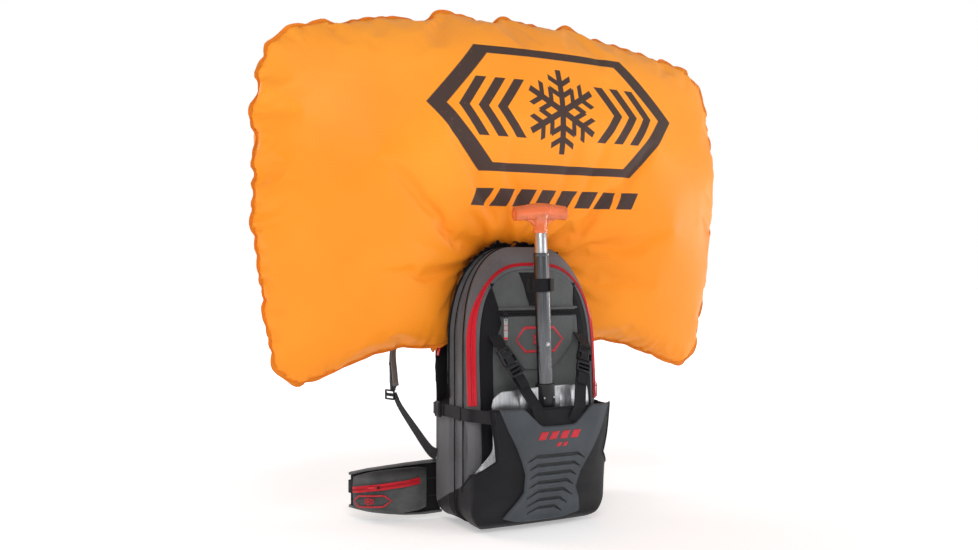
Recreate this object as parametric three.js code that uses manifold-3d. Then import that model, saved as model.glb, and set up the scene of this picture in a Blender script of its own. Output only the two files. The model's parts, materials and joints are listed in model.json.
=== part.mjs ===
// Avalanche airbag backpack, inflated, with a shovel in its front pocket.
// Units are millimetres. +Z is up and +Y points from the pack to the wearer, whose lower back rests on the
// lumbar pad's flat face. The origin is the centre of that face. +X is to the right when the pack is seen
// from behind the wearer, looking along +Y.
import * as THREE from "three";
import { mergeVertices } from "three/addons/utils/BufferGeometryUtils.js";
import Module from "manifold-3d";

const wasm = await Module();
wasm.setup();

// ---------------------------------------------------------------- driving dimensions
const GAP = 0.4; // between pieces that touch
const BAG = { half: 150, base: -110, top: 440, cornerX: 115, cornerZ: 185, cornerBase: 45 };
const REAR = -30; // rear wall of the bag
const FRONT_BASE = -196; // front plane of the bag at its base
const FRONT_LEAN = 0.056; // the front plane leans back towards the top
const CHAMFER = 18; // the bevel between side and front that carries the main zip
const WALL = 4;
const GROOVE = { rear: -38, front: -88, depth: 20, foot: 130 }; // the channel that the airbag bursts out of
const POCKET = { skin: 4, front: -252, rear: -130, chamfer: 42, rim: 128 };
const PANEL_PUFF = 9;
const AIRBAG = { middle: -63, half: 135, width: 1080 };
const SHAFT = { y: -226, outer: 14.5, inner: 12, wall: 1.5, lean: THREE.MathUtils.degToRad(-2) };
const STRAP_SIDES = [
  ["left", -1],
  ["right", 1],
];

const frontPlane = (z) => FRONT_BASE + FRONT_LEAN * (z - BAG.base);
const V = (x, y, z) => new THREE.Vector3(x, y, z);
const smooth = (points, steps) => new THREE.CatmullRomCurve3(points).getPoints(steps);

// ---------------------------------------------------------------- materials
const paint = (color, roughness, metalness = 0) =>
  new THREE.MeshStandardMaterial({ color, roughness, metalness });
const MATERIAL = {
  airbag: paint(0xf58a1f, 0.45),
  greyFabric: paint(0x4b4d50, 0.8),
  blackFabric: paint(0x17171a, 0.85),
  webbing: paint(0x1c1c20, 0.8),
  foam: paint(0x2a2b2e, 0.9),
  eva: paint(0x50585d, 0.6),
  redZip: paint(0xb5101f, 0.5),
  blackPlastic: paint(0x141416, 0.4),
  frameSheet: paint(0x222326, 0.5),
  aluminium: paint(0xb9bcc0, 0.3, 1),
  darkAluminium: paint(0x4a4c52, 0.35, 1),
  silverAluminium: paint(0xb4b6ba, 0.3, 1),
  gripPlastic: paint(0xff5a24, 0.3),
  triggerRed: paint(0xc0141c, 0.4),
  cylinderPaint: paint(0xd8dade, 0.35),
  brass: paint(0xb08d4a, 0.35, 1),
  hose: paint(0x101012, 0.5),
  gaugeFace: paint(0xe9e9e4, 0.4),
};

// ---------------------------------------------------------------- solid helpers
function outward(geometry) {
  const p = geometry.attributes.position;
  const index = geometry.index.array;
  const [a, b, c] = [V(), V(), V()];
  let volume = 0;
  for (let i = 0; i < index.length; i += 3) {
    a.fromBufferAttribute(p, index[i]);
    b.fromBufferAttribute(p, index[i + 1]);
    c.fromBufferAttribute(p, index[i + 2]);
    volume += a.dot(b.cross(c));
  }
  if (volume < 0) {
    for (let i = 0; i < index.length; i += 3) {
      [index[i + 1], index[i + 2]] = [index[i + 2], index[i + 1]];
    }
  }
  return geometry;
}

// The ring's triangles, found in the plane that it is widest in.
function capTriangles(ring) {
  const normal = V(0, 0, 0);
  ring.forEach((p, i) => normal.add(p.clone().cross(ring[(i + 1) % ring.length])));
  const flat = [Math.abs(normal.x), Math.abs(normal.y), Math.abs(normal.z)];
  const drop = flat.indexOf(Math.max(...flat));
  const [u, v] = ["x", "y", "z"].filter((_, k) => k !== drop);
  const contour = ring.map((p) => new THREE.Vector2(p[u], p[v]));
  return THREE.ShapeUtils.triangulateShape(contour, []);
}

// A closed solid through rings with equal point counts, capped at both ends.
function loft(rings) {
  const count = rings[0].length;
  const index = [];
  for (let r = 0; r + 1 < rings.length; r++) {
    for (let i = 0; i < count; i++) {
      const a = r * count + i;
      const b = r * count + ((i + 1) % count);
      index.push(a, b, b + count, a, b + count, a + count);
    }
  }
  const last = (rings.length - 1) * count;
  capTriangles(rings[0]).forEach(([a, b, c]) => index.push(c, b, a));
  const turned = Math.sign(ringArea(rings[0])) === Math.sign(ringArea(rings.at(-1))) ? 1 : -1;
  capTriangles(rings.at(-1)).forEach(([a, b, c]) =>
    index.push(...(turned > 0 ? [a, b, c] : [c, b, a]).map((k) => k + last)),
  );
  const geometry = new THREE.BufferGeometry();
  const positions = rings.flat().flatMap((p) => [p.x, p.y, p.z]);
  geometry.setAttribute("position", new THREE.Float32BufferAttribute(positions, 3));
  geometry.setIndex(index);
  return matchCaps(geometry, count, rings.length);
}

function ringArea(ring) {
  const normal = V(0, 0, 0);
  ring.forEach((p, i) => normal.add(p.clone().cross(ring[(i + 1) % ring.length])));
  return normal.x + normal.y + normal.z;
}

// Turns each cap so that it runs against the side faces that it shares edges with.
function matchCaps(geometry, count, ringCount) {
  const index = geometry.index.array;
  const sides = (ringCount - 1) * count * 6;
  const capSize = (index.length - sides) / 2;
  const isSideEdge = new Set();
  for (let i = 0; i < sides; i += 3) {
    for (let k = 0; k < 3; k++) isSideEdge.add(`${index[i + k]}>${index[i + ((k + 1) % 3)]}`);
  }
  for (const start of [sides, sides + capSize]) {
    let wrong = false;
    for (let i = start; i < start + capSize; i += 3) {
      for (let k = 0; k < 3; k++) {
        wrong ||= isSideEdge.has(`${index[i + k]}>${index[i + ((k + 1) % 3)]}`);
      }
    }
    if (wrong) {
      for (let i = start; i < start + capSize; i += 3) {
        [index[i + 1], index[i + 2]] = [index[i + 2], index[i + 1]];
      }
    }
  }
  return outward(geometry);
}

// A solid between two surfaces y(x, z) over an outline of [x, z] points.
function prism(outline, rear, front) {
  const at = (y, [x, z]) => V(x, typeof y === "function" ? y(z, x) : y, z);
  return loft([rear, front].map((y) => outline.map((p) => at(y, p))));
}

// A flat band along a path; side(t) points across its width, from 0 at the start to 1 at the end.
function band(path, width, thickness, side) {
  const last = path.length - 1;
  const rings = path.map((p, i) => {
    const t = i / last;
    const along = path[Math.min(i + 1, last)].clone().sub(path[Math.max(i - 1, 0)]).normalize();
    const across = side(t).clone();
    across.addScaledVector(along, -across.dot(along)).normalize();
    const up = along.clone().cross(across);
    const w = (typeof width === "function" ? width(t) : width) / 2;
    const h = thickness / 2;
    return [[w, h], [-w, h], [-w, -h], [w, -h]].map(([a, b]) =>
      p.clone().addScaledVector(across, a).addScaledVector(up, b),
    );
  });
  return loft(rings);
}

function tube(path, radius, sides, steps) {
  const circle = new THREE.Shape();
  for (let i = 0; i < sides; i++) {
    const a = (i / sides) * 2 * Math.PI;
    circle[i ? "lineTo" : "moveTo"](radius * Math.cos(a), radius * Math.sin(a));
  }
  const extrudePath = new THREE.CatmullRomCurve3(path);
  return new THREE.ExtrudeGeometry(circle, { steps, bevelEnabled: false, extrudePath });
}

const block = (x0, x1, y0, y1, z0, z1) =>
  new THREE.BoxGeometry(x1 - x0, y1 - y0, z1 - z0).translate((x0 + x1) / 2, (y0 + y1) / 2, (z0 + z1) / 2);

// A body of revolution about Z from a closed profile of [radius, z] points.
const turned = (profile, sides = 20) =>
  new THREE.LatheGeometry(profile.map(([r, z]) => new THREE.Vector2(r, z)), sides).rotateX(Math.PI / 2);

const pipe = (outer, inner, z0, z1, sides = 20) =>
  turned([[inner, z0], [outer, z0], [outer, z1], [inner, z1], [inner, z0]], sides);

const rod = (radius, z0, z1, sides = 20) =>
  turned([[0, z0], [radius, z0], [radius, z1], [0, z1]], sides);

function solid(geometry) {
  const bare = geometry.clone();
  bare.deleteAttribute("normal");
  bare.deleteAttribute("uv");
  const merged = mergeVertices(bare, 1e-4);
  const vertProperties = new Float32Array(merged.attributes.position.array);
  const triVerts = new Uint32Array(merged.index.array);
  return new wasm.Manifold(new wasm.Mesh({ numProp: 3, vertProperties, triVerts }));
}

function geometryOf(manifold) {
  const mesh = manifold.getMesh();
  const geometry = new THREE.BufferGeometry();
  geometry.setAttribute("position", new THREE.Float32BufferAttribute(mesh.vertProperties, 3));
  geometry.setIndex(new THREE.BufferAttribute(mesh.triVerts, 1));
  return geometry;
}

const cut = (from, ...tools) => geometryOf(tools.reduce((s, g) => s.subtract(solid(g)), solid(from)));
const join = (...parts) => geometryOf(parts.slice(1).reduce((s, g) => s.add(solid(g)), solid(parts[0])));
const overlap = (a, b) => geometryOf(solid(a).intersect(solid(b)));

function piece(name, geometry, material) {
  const mesh = new THREE.Mesh(geometry, material);
  mesh.name = name;
  return mesh;
}

// ---------------------------------------------------------------- outlines in the XZ plane
function arc(cx, cz, rx, rz, from, to, steps) {
  return Array.from({ length: steps + 1 }, (_, i) => {
    const a = THREE.MathUtils.degToRad(from + ((to - from) * i) / steps);
    return [cx + rx * Math.cos(a), cz + rz * Math.sin(a)];
  });
}

// The bag's outline, moved inwards by inset: a box with round feet and a tall elliptical arch on top.
function bagOutline(inset) {
  const half = BAG.half - inset;
  const [rx, rz] = [BAG.cornerX - inset, BAG.cornerZ - inset];
  const foot = Math.max(BAG.cornerBase - inset, 6);
  const [low, high] = [BAG.base + inset, BAG.top - inset];
  return [
    ...arc(half - foot, low + foot, foot, foot, -90, 0, 3),
    ...arc(half - rx, high - rz, rx, rz, 0, 90, 8),
    ...arc(rx - half, high - rz, rx, rz, 90, 180, 8),
    ...arc(foot - half, low + foot, foot, foot, 180, 270, 3),
  ];
}

const mirrored = (outline) => outline.map(([x, z]) => [-x, z]).reverse();

// ---------------------------------------------------------------- the bag
// Everything that the bag's outside touches: rings from the rear wall to the bevelled front.
function bagBody(outset = 0) {
  const ring = (inset, y) => bagOutline(inset - outset).map(([x, z]) => V(x, y(z), z));
  return loft([
    ring(0, () => REAR + outset),
    ring(0, (z) => frontPlane(z) + CHAMFER),
    ring(CHAMFER, (z) => frontPlane(z) - outset),
  ]);
}

function bagCavity() {
  const rear = prism(bagOutline(GROOVE.depth + WALL), REAR - WALL, GROOVE.front - WALL - 3);
  const ring = (inset, y) => bagOutline(inset).map(([x, z]) => V(x, y(z), z));
  const lip = CHAMFER + WALL;
  const main = loft([
    ring(WALL, () => GROOVE.front - WALL),
    ring(WALL, (z) => frontPlane(z) + CHAMFER + WALL),
    ring(lip, (z) => frontPlane(z) + WALL),
    ring(lip, (z) => frontPlane(z) - 20),
  ]);
  return join(rear, main);
}

// The ring-shaped space outside the bag's waist, open to the sides and the top, above its foot.
function grooveSpace(floor, rear, front, foot) {
  const wide = prism(bagOutline(-30), rear, front);
  const core = prism(bagOutline(floor), rear + 1, front - 1);
  return cut(wide, core, block(-250, 250, -200, 0, -200, foot));
}

const THROAT = { radius: 21, wall: 2, low: 396, high: BAG.top + 1 };

function throatHole() {
  return rod(THROAT.radius + GAP, 380, 460).translate(0, AIRBAG.middle, 0);
}

const CABLE_EXIT = V(-98, REAR - 2, 368);
const cableHole = () => rod(4, -20, 20, 10).rotateX(Math.PI / 2).translate(...CABLE_EXIT.toArray());

function mainShell() {
  const groove = grooveSpace(GROOVE.depth, GROOVE.rear, GROOVE.front, GROOVE.foot);
  const shell = cut(bagBody(), bagCavity(), groove, throatHole(), cableHole());
  return piece("main_shell", shell, MATERIAL.greyFabric);
}

function airbagChannel() {
  const [rear, front] = [GROOVE.rear - GAP, GROOVE.front + GAP];
  const outer = prism(bagOutline(2), rear, front);
  const core = prism(bagOutline(GROOVE.depth - GAP), rear + 1, front - 1);
  const trough = grooveSpace(GROOVE.depth - 3.5, rear - 3, front + 3, GROOVE.foot - 60);
  const foot = block(-250, 250, -200, 0, -200, GROOVE.foot + GAP);
  return piece("airbag_channel", cut(outer, core, trough, foot, throatHole()), MATERIAL.blackFabric);
}

function frontPanel() {
  const ring = (inset, lift) => bagOutline(inset).map(([x, z]) => V(x, frontPlane(z) - lift, z));
  const edge = CHAMFER + WALL + GAP;
  return piece(
    "front_panel",
    loft([ring(edge, -5), ring(edge, 1), ring(edge + 13, PANEL_PUFF - 2), ring(edge + 25, PANEL_PUFF)]),
    MATERIAL.greyFabric,
  );
}

const ZIP_FOOT = 131;
const BEVEL_OUT = V(1, -1, 0).normalize();

// The main zip lies on the bevel, up one leg, over the arch and down the other.
function mainZip() {
  const [outer, inner] = [bagOutline(0), bagOutline(CHAMFER)];
  const keep = outer.map((_, i) => i).filter((i) => i >= 4 && i < outer.length - 4);
  const edges = keep.map((i) => [
    V(outer[i][0], frontPlane(outer[i][1]) + CHAMFER, outer[i][1]),
    V(inner[i][0], frontPlane(inner[i][1]), inner[i][1]),
  ]);
  const foot = (end) => {
    const [a, b] = edges.at(end);
    const drop = (p) => V(p.x, p.y + FRONT_LEAN * (ZIP_FOOT - p.z), ZIP_FOOT);
    return [drop(a), drop(b)];
  };
  const rows = [foot(0), ...edges, foot(-1)];
  const middle = rows.map(([a, b]) => a.clone().lerp(b, 0.5));
  const rings = rows.map(([a, b], i) => {
    const along = middle[Math.min(i + 1, rows.length - 1)].clone().sub(middle[Math.max(i - 1, 0)]);
    const across = b.clone().sub(a).normalize();
    const up = across.clone().cross(along).normalize();
    const corner = (share, lift) => a.clone().lerp(b, share).addScaledVector(up, lift);
    return [corner(0.1, GAP), corner(0.9, GAP), corner(0.9, 3), corner(0.1, 3)];
  });
  const flipped = rings[1][2].x > rings[1][1].x === rings[1][1].x > 0;
  const made = flipped ? rings : rings.map(([a, b, c, d]) => mirrorLift([a, b, c, d]));
  return piece("main_zip", loft(made), MATERIAL.redZip);
}

// Puts a lifted ring on the other side of its two base corners.
function mirrorLift([a, b, c, d]) {
  const lift = d.clone().sub(a);
  const base = lift.clone().multiplyScalar((2 * GAP) / (3 - GAP));
  return [a.sub(base), b.sub(base), b.clone().sub(lift), a.clone().sub(lift)];
}

function mainZipSlider() {
  const z = 160;
  const mid = V(BAG.half - CHAMFER / 2, frontPlane(z) + CHAMFER / 2, z).addScaledVector(BEVEL_OUT, 6.2);
  const body = join(block(-4.5, 4.5, -2.6, 2.2, -7, 7), block(-2.6, 2.6, 2, 5, -26, 3));
  const slider = piece("main_zip_slider", body, MATERIAL.triggerRed);
  slider.position.copy(mid);
  slider.quaternion.setFromUnitVectors(V(0, 1, 0), BEVEL_OUT);
  return slider;
}

const POCKET_ZIP = { z: 310, from: -86, to: 98 };

function pocketZip() {
  const face = frontPlane(POCKET_ZIP.z + 5) - PANEL_PUFF;
  const zip = block(POCKET_ZIP.from, POCKET_ZIP.to, face - 3, face - 1.2, POCKET_ZIP.z - 4, POCKET_ZIP.z + 4);
  const place = V(POCKET_ZIP.from + 8, face - 5.4, POCKET_ZIP.z);
  const pin = V(0, -5.2, -2.5);
  const ear = (side) => block(side * 3.7 - 0.8, side * 3.7 + 0.8, -6.6, -1, -4.5, -0.5);
  const pinRod = rod(0.9, -3.6, 3.6, 8).rotateY(Math.PI / 2).translate(...pin.toArray());
  const slider = join(block(-6, 6, -2, 2, -4.5, 4.5), ear(-1), ear(1), pinRod);
  const sliderMesh = piece("pocket_zip_slider", slider, MATERIAL.blackPlastic);
  sliderMesh.position.copy(place);
  const eye = rod(2.5, -2.5, 2.5, 12).rotateY(Math.PI / 2);
  const tab = block(-4, 4, -1.1, 1.1, -50, -8);
  const neck = block(-2.5, 2.5, -1.1, 1.1, -9, -1.6);
  const tabShape = cut(join(tab, neck, eye), rod(1.3, -9, 9, 10).rotateY(Math.PI / 2));
  const pull = piece("pocket_zip_pull", tabShape, MATERIAL.silverAluminium);
  pull.position.copy(place).add(pin);
  return [piece("pocket_zip", zip, MATERIAL.blackPlastic), sliderMesh, pull];
}

// ---------------------------------------------------------------- the shovel pocket
// A bevelled tray around the bag's lower front, grown outwards by offset.
function trayBody(offset) {
  const ring = (inset, y) => bagOutline(inset - offset).map(([x, z]) => V(x, y, z));
  return loft([
    ring(0, POCKET.rear),
    ring(0, POCKET.front + POCKET.chamfer - offset * 0.4),
    ring(POCKET.chamfer * 0.75, POCKET.front - offset),
  ]);
}

const WING_CUT = [
  [-190, -84],
  [-84, 16],
  [-106, 60],
  [-137, 140],
  [-190, 140],
];

function shovelPocket() {
  const tray = cut(
    trayBody(POCKET.skin + 0.6),
    trayBody(0.6),
    block(-250, 250, -300, 50, POCKET.rim, 600),
    prism(WING_CUT, -20, -300),
    prism(mirrored(WING_CUT), -20, -300),
    block(-250, 250, POCKET.rear - 1, 50, -300, 600),
    block(-200, 200, -190, -100, -104, 600),
  );
  return piece("shovel_pocket", tray, MATERIAL.blackFabric);
}

const EVA_HALF = [
  [0, -98],
  [62, -98],
  [84, -72],
  [76, -30],
  [96, 22],
  [122, 84],
  [136, 140],
  [104, 136],
  [72, 96],
  [0, 94],
];

function shovelPanel() {
  const outline = [...EVA_HALF, ...mirrored(EVA_HALF).slice(1, -1)];
  const shell = cut(trayBody(11.6), trayBody(8.6), block(-250, 250, -200, 50, -300, 600));
  return piece("shovel_panel", overlap(shell, prism(outline, -190, -300)), MATERIAL.eva);
}

// ---------------------------------------------------------------- straps over the shovel
const BUCKLE = { x: 84, y: -219, z: 211 };
// Where the lower web bends over the pocket's rim.
const BEND = { x: 50, y: POCKET.front - POCKET.skin - 3.2, z: POCKET.rim + 5 };

function buckleStrap(side, sign) {
  const group = new THREE.Group();
  const centre = V(sign * BUCKLE.x, BUCKLE.y, BUCKLE.z);
  const bend = V(sign * BEND.x, BEND.y, BEND.z);
  const up = centre.clone().sub(bend).normalize();
  const across = V(1, 0, 0).addScaledVector(up, -up.x).normalize();
  const inwards = up.clone().cross(across).normalize(); // from the buckle's face to the pack
  const clip = new THREE.Group();
  clip.position.copy(centre);
  clip.quaternion.setFromRotationMatrix(new THREE.Matrix4().makeBasis(across, inwards, up));
  const socket = cut(
    join(block(-15, 15, -10, 1, 0, 24), block(-14, 14, -7, -2, 24, 34)),
    block(-11.5, 11.5, -7.6, -1.6, -1, 18),
    block(-10.5, 10.5, -20, 20, 26.5, 31),
  );
  const prong = (s) => join(block(s * 9 - 1.6, s * 9 + 1.6, -6.6, -2.6, -6, 14));
  const plug = cut(
    join(block(-15, 15, -7.2, -2, -26, -1), prong(-1), prong(1)),
    block(-12, 12, -20, 20, -22, -17),
    block(-12, 12, -20, 20, -13, -8),
  );
  clip.add(
    piece(`buckle_socket_${side}`, socket, MATERIAL.blackPlastic),
    piece(`buckle_plug_${side}`, plug, MATERIAL.blackPlastic),
  );
  const foot = V(bend.x - sign * 14, bend.y, POCKET.rim - 27);
  const top = centre.clone().addScaledVector(up, -3).addScaledVector(inwards, -0.2);
  const lower = band([foot, bend, top], 25, 1.8, (t) => V(1, 0, 0).lerp(across, t));
  const anchor = V(sign * 98, frontPlane(266) - PANEL_PUFF - 1.6, 266);
  const rise = centre.clone().addScaledVector(up, 40).addScaledVector(inwards, -4.5);
  const upper = band([rise, anchor], 25, 1.8, () => across);
  group.add(clip);
  group.add(piece(`lower_web_${side}`, lower, MATERIAL.webbing));
  group.add(piece(`upper_web_${side}`, upper, MATERIAL.webbing));
  return group;
}

const SIDE_STRAP = { z: 113, width: 25 };

function sideStrap(side, sign) {
  const x = sign * (BAG.half + 1.5);
  const corner = frontPlane(SIDE_STRAP.z) + CHAMFER;
  const path = [
    V(x, REAR - 4, SIDE_STRAP.z),
    V(sign * (BAG.half + 2), corner - 2, SIDE_STRAP.z),
    V(sign * (BAG.half - 8), frontPlane(SIDE_STRAP.z) - 6, SIDE_STRAP.z),
    V(sign * (BAG.half - 26), POCKET.front + 9, SIDE_STRAP.z + 1),
    V(sign * (BAG.half - 34), POCKET.front + 1, SIDE_STRAP.z + 1),
  ];
  const strap = band(path, SIDE_STRAP.width, 1.8, () => V(0, 0, 1));
  const frame = cut(block(-3, 3, -12, 12, -16, 16), block(-9, 9, -8, -3, -13, 13), block(-9, 9, 3, 8, -13, 13));
  const adjuster = piece(`side_adjuster_${side}`, frame, MATERIAL.blackPlastic);
  adjuster.position.set(sign * (BAG.half + 6), REAR - 24, SIDE_STRAP.z);
  return [piece(`side_strap_${side}`, strap, MATERIAL.webbing), adjuster];
}

// ---------------------------------------------------------------- the shovel
// Its own frame has Z along the shaft, from the foot of the blade, and Y as in the pack.
const SHOVEL = { foot: -88, shoulder: 168, half: 112, collar: 172, top: 427, innerFoot: 228, innerTop: 466 };

function shovelBlade() {
  const rows = 7;
  const columns = 9;
  const halfWidth = (t) => (t < 0.12 ? 88 + 24 * Math.sqrt(t / 0.12) : SHOVEL.half);
  const top = (u) => SHOVEL.shoulder - 14 * Math.max(0, Math.abs(u) - 0.75) * 4;
  const dish = (u, t) => 12 * (1 - u * u) * (0.6 + 0.4 * t);
  const sheet = (lift) =>
    Array.from({ length: rows + 1 }, (_, r) => {
      const t = r / rows;
      return Array.from({ length: columns + 1 }, (_, c) => {
        const u = (2 * c) / columns - 1;
        const z = SHOVEL.foot + t * (top(u) - SHOVEL.foot);
        return V(u * halfWidth(t), -dish(u, t) + lift, z);
      });
    });
  const [front, rear] = [sheet(0), sheet(2)];
  const rings = front.map((line, r) => [...line, ...rear[r].slice().reverse()]);
  const plate = loft(rings).translate(0, 6, 0);
  const socket = cut(rod(SHAFT.outer + 3, 40, SHOVEL.collar), rod(SHAFT.outer + GAP, 60, 300));
  const hollow = rod(SHAFT.outer + GAP, 60, 300);
  return piece("shovel_blade", cut(join(plate, socket), hollow), MATERIAL.silverAluminium);
}

const BUTTON = { z: 250, radius: 3.4 };

function shovel() {
  const group = new THREE.Group();
  group.position.set(-3, SHAFT.y, 0);
  group.rotation.y = SHAFT.lean;
  const hole = rod(BUTTON.radius + GAP, 0, 40, 12).rotateX(Math.PI / 2).translate(0, 0, BUTTON.z);
  const lower = cut(pipe(SHAFT.outer, SHAFT.outer - SHAFT.wall, 62, SHOVEL.top), hole);
  const upper = cut(pipe(SHAFT.inner, SHAFT.inner - SHAFT.wall, SHOVEL.innerFoot, SHOVEL.innerTop), hole);
  const bar = rod(17, -61, 61, 16).rotateY(Math.PI / 2).translate(0, 0, 508);
  const stem = rod(14, SHOVEL.innerTop + GAP, 500, 16);
  const plugIn = rod(SHAFT.inner - SHAFT.wall - GAP, SHOVEL.innerTop - 24, 480, 16);
  const grip = join(bar, stem, plugIn);
  const button = join(
    rod(BUTTON.radius, 0, 8.2, 12).rotateX(Math.PI / 2).translate(0, -8, BUTTON.z),
    rod(5, 0, 1.6, 12).rotateX(Math.PI / 2).translate(0, -7.4, BUTTON.z),
  );
  const ring = cut(
    join(pipe(SHAFT.outer + 3.4, SHAFT.outer + 0.9, 352, 378), block(-13, 13, 16, 43, 352, 378)),
    rod(SHAFT.outer + 0.9, 340, 390),
  );
  group.add(
    shovelBlade(),
    piece("shovel_shaft_lower", lower, MATERIAL.darkAluminium),
    piece("shovel_shaft_upper", upper, MATERIAL.silverAluminium),
    piece("shovel_grip", grip, MATERIAL.gripPlastic),
    piece("spring_button", button, MATERIAL.silverAluminium),
    piece("shaft_keeper", ring, MATERIAL.webbing),
  );
  return group;
}

// ---------------------------------------------------------------- the airbag
// Half of the airbag's outline in the XZ plane, as its top and bottom edges over x.
const TOP_EDGE = [[0, 909], [150, 905], [300, 881], [412, 862], [470, 846], [510, 812], [530, 760], [540, 690]];
const LOW_EDGE = [
  [150, 243],
  [240, 241],
  [300, 230],
  [360, 212],
  [420, 192],
  [465, 184],
  [500, 215],
  [520, 320],
  [540, 480],
];

function edgeHeight(edge, x) {
  const i = Math.max(1, edge.findIndex(([px]) => px >= x));
  const [[x0, z0], [x1, z1]] = [edge[i - 1], edge[i]];
  return z0 + ((z1 - z0) * (x - x0)) / (x1 - x0);
}

// Above the notch the airbag's foot follows the bag's arch.
function airbagFoot(x) {
  const clear = BAG.half + 3;
  if (x >= clear) return edgeHeight(LOW_EDGE, x);
  const u = Math.max(0, (x - (BAG.half - BAG.cornerX)) / (BAG.cornerX + 3));
  return BAG.top - BAG.cornerZ + (BAG.cornerZ + 3) * Math.sqrt(Math.max(0, 1 - u * u));
}

function airbag() {
  const half = AIRBAG.width / 2;
  const right = [0, 40, 80, 110, 130, 143, 150, 153.5, 175, 240, 320, 400, 450, 485, 510, 528, 538];
  const stations = [...right.slice(1).map((x) => -x).reverse(), ...right];
  const sides = 20;
  const full = (v) => Math.sign(v) * Math.abs(v) ** 0.75; // a pillow's section is fuller than an ellipse
  const rings = stations.map((x) => {
    const a = Math.abs(x);
    const [low, high] = [airbagFoot(a), edgeHeight(TOP_EDGE, a)];
    const taper = a < 380 ? 1 : Math.sqrt(Math.max(0.02, 1 - ((a - 380) / (half - 378)) ** 2));
    return Array.from({ length: sides }, (_, i) => {
      const angle = (2 * Math.PI * i) / sides;
      const [c, s] = [Math.cos(angle), Math.sin(angle)];
      const z = (low + high) / 2 + ((high - low) / 2) * full(c);
      return V(x, AIRBAG.middle + AIRBAG.half * taper * full(s), z);
    });
  });
  return piece("airbag", loft(rings), MATERIAL.airbag);
}

// ---------------------------------------------------------------- the inflation system
const PLUNGER_TRAVEL = 8;
const CYLINDER = { x: 100, y: -140, low: -78, high: 150, radius: 27 };

function inflation() {
  const group = new THREE.Group();
  const { low, high, radius } = CYLINDER;
  const dome = arc(0, high - radius, radius, radius, 0, 60, 4);
  const base = arc(0, low + radius, radius, radius, -60, 0, 4);
  const bottle = turned([[0, low + 2], ...base, ...dome, [12, high], [12, high + 14], [0, high + 14]]);
  const valveBody = join(
    rod(19, high + 14.4, high + 50, 16),
    block(-32, 0, -8, 8, high + 24, high + 40),
  );
  const portHole = rod(3.4, high + 44, high + 90, 12);
  const valve = cut(valveBody, portHole);
  const plunger = join(rod(3, high + 45, high + 66, 12), rod(6, high + 58, high + 64, 12));
  const gauge = rod(17, 0, 12, 20).rotateX(Math.PI / 2).translate(0, -19.5, high + 32);
  const needle = join(
    block(-1, 1, -1, 0, -3, 13),
    rod(2.4, 0, 1.6, 10).rotateX(Math.PI / 2).translate(0, 0.2, 0),
  );
  const parts = new THREE.Group();
  parts.position.set(CYLINDER.x, CYLINDER.y, 0);
  const needleMesh = piece("gauge_needle", needle, MATERIAL.triggerRed);
  needleMesh.position.set(0, -32.2, high + 32);
  needleMesh.rotation.y = THREE.MathUtils.degToRad(60);
  parts.add(
    piece("air_cylinder", bottle, MATERIAL.cylinderPaint),
    piece("cylinder_valve", valve, MATERIAL.brass),
    piece("valve_plunger", plunger, MATERIAL.aluminium),
    piece("gauge_body", gauge, MATERIAL.gaugeFace),
    needleMesh,
  );
  const y = AIRBAG.middle;
  const housing = cut(
    join(block(-55, 55, y - 20, y + 20, 300, 384), rod(19, 380, 395).translate(0, y, 0)),
    ...[-36, -18, 18, 36].map((x) => block(x - 6, x + 6, y - 40, y - 8, 312, 352)),
    rod(13, 360, 420).translate(0, y, 0),
  );
  const route = [
    V(67.6, -140, high + 32),
    V(56, -140, high + 33),
    V(42, -118, 232),
    V(34, -84, 258),
    V(34, y, 280),
    V(34, y, 299.4),
  ];
  const throat = pipe(THROAT.radius, THROAT.radius - THROAT.wall, THROAT.low, THROAT.high).translate(0, y, 0);
  group.add(
    parts,
    piece("ejector_body", housing, MATERIAL.blackPlastic),
    piece("supply_hose", tube(route, 4, 8, 24), MATERIAL.hose),
    piece("airbag_throat", throat, MATERIAL.blackFabric),
    airbag(),
  );
  return group;
}

// ---------------------------------------------------------------- back system
function backSystem() {
  const sheetFront = REAR + GAP;
  const sheetRear = sheetFront + 3;
  const pad = (half, low, high, face, bevel) => {
    const outline = (inset) => [
      ...arc(half - 24, low + 24, 24 - inset, 24 - inset, -90, 0, 3),
      ...arc(half - 24, high - 24, 24 - inset, 24 - inset, 0, 90, 3),
      ...arc(24 - half, high - 24, 24 - inset, 24 - inset, 90, 180, 3),
      ...arc(24 - half, low + 24, 24 - inset, 24 - inset, 180, 270, 3),
    ];
    const ring = (inset, y) => outline(inset).map(([x, z]) => V(x, y, z));
    return loft([ring(0, sheetRear + GAP), ring(0, face - bevel), ring(bevel, face)]);
  };
  const plate = [
    ...arc(104, -70, 24, 24, -90, 0, 3),
    ...arc(84, 352, 44, 44, 0, 90, 4),
    ...arc(-84, 352, 44, 44, 90, 180, 4),
    ...arc(-104, -70, 24, 24, 180, 270, 3),
  ];
  const bar = [
    V(-112, REAR - 7, -70),
    V(-112, REAR - 7, 300),
    V(-96, REAR - 7, 352),
    V(-50, REAR - 7, 378),
    V(50, REAR - 7, 378),
    V(96, REAR - 7, 352),
    V(112, REAR - 7, 300),
    V(112, REAR - 7, -70),
  ];
  const loopPath = arc(0, 0, 22, 40, 180, 0, 10).map(([x, h]) => V(x, -14 + 0.6 * h, 386 + 0.8 * h));
  return [
    piece("lumbar_pad", pad(96, -75, 75, 0, 8), MATERIAL.foam),
    piece("back_pad", pad(112, 92, 366, -4, 8), MATERIAL.foam),
    piece("frame_sheet", cut(prism(plate, sheetRear, sheetFront), cableHole()), MATERIAL.frameSheet),
    piece("frame_hoop", band(bar, 3, 12, () => V(0, 1, 0)), MATERIAL.aluminium),
    piece("haul_loop", haulLoop(loopPath, sheetRear), MATERIAL.webbing),
  ];
}

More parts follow.
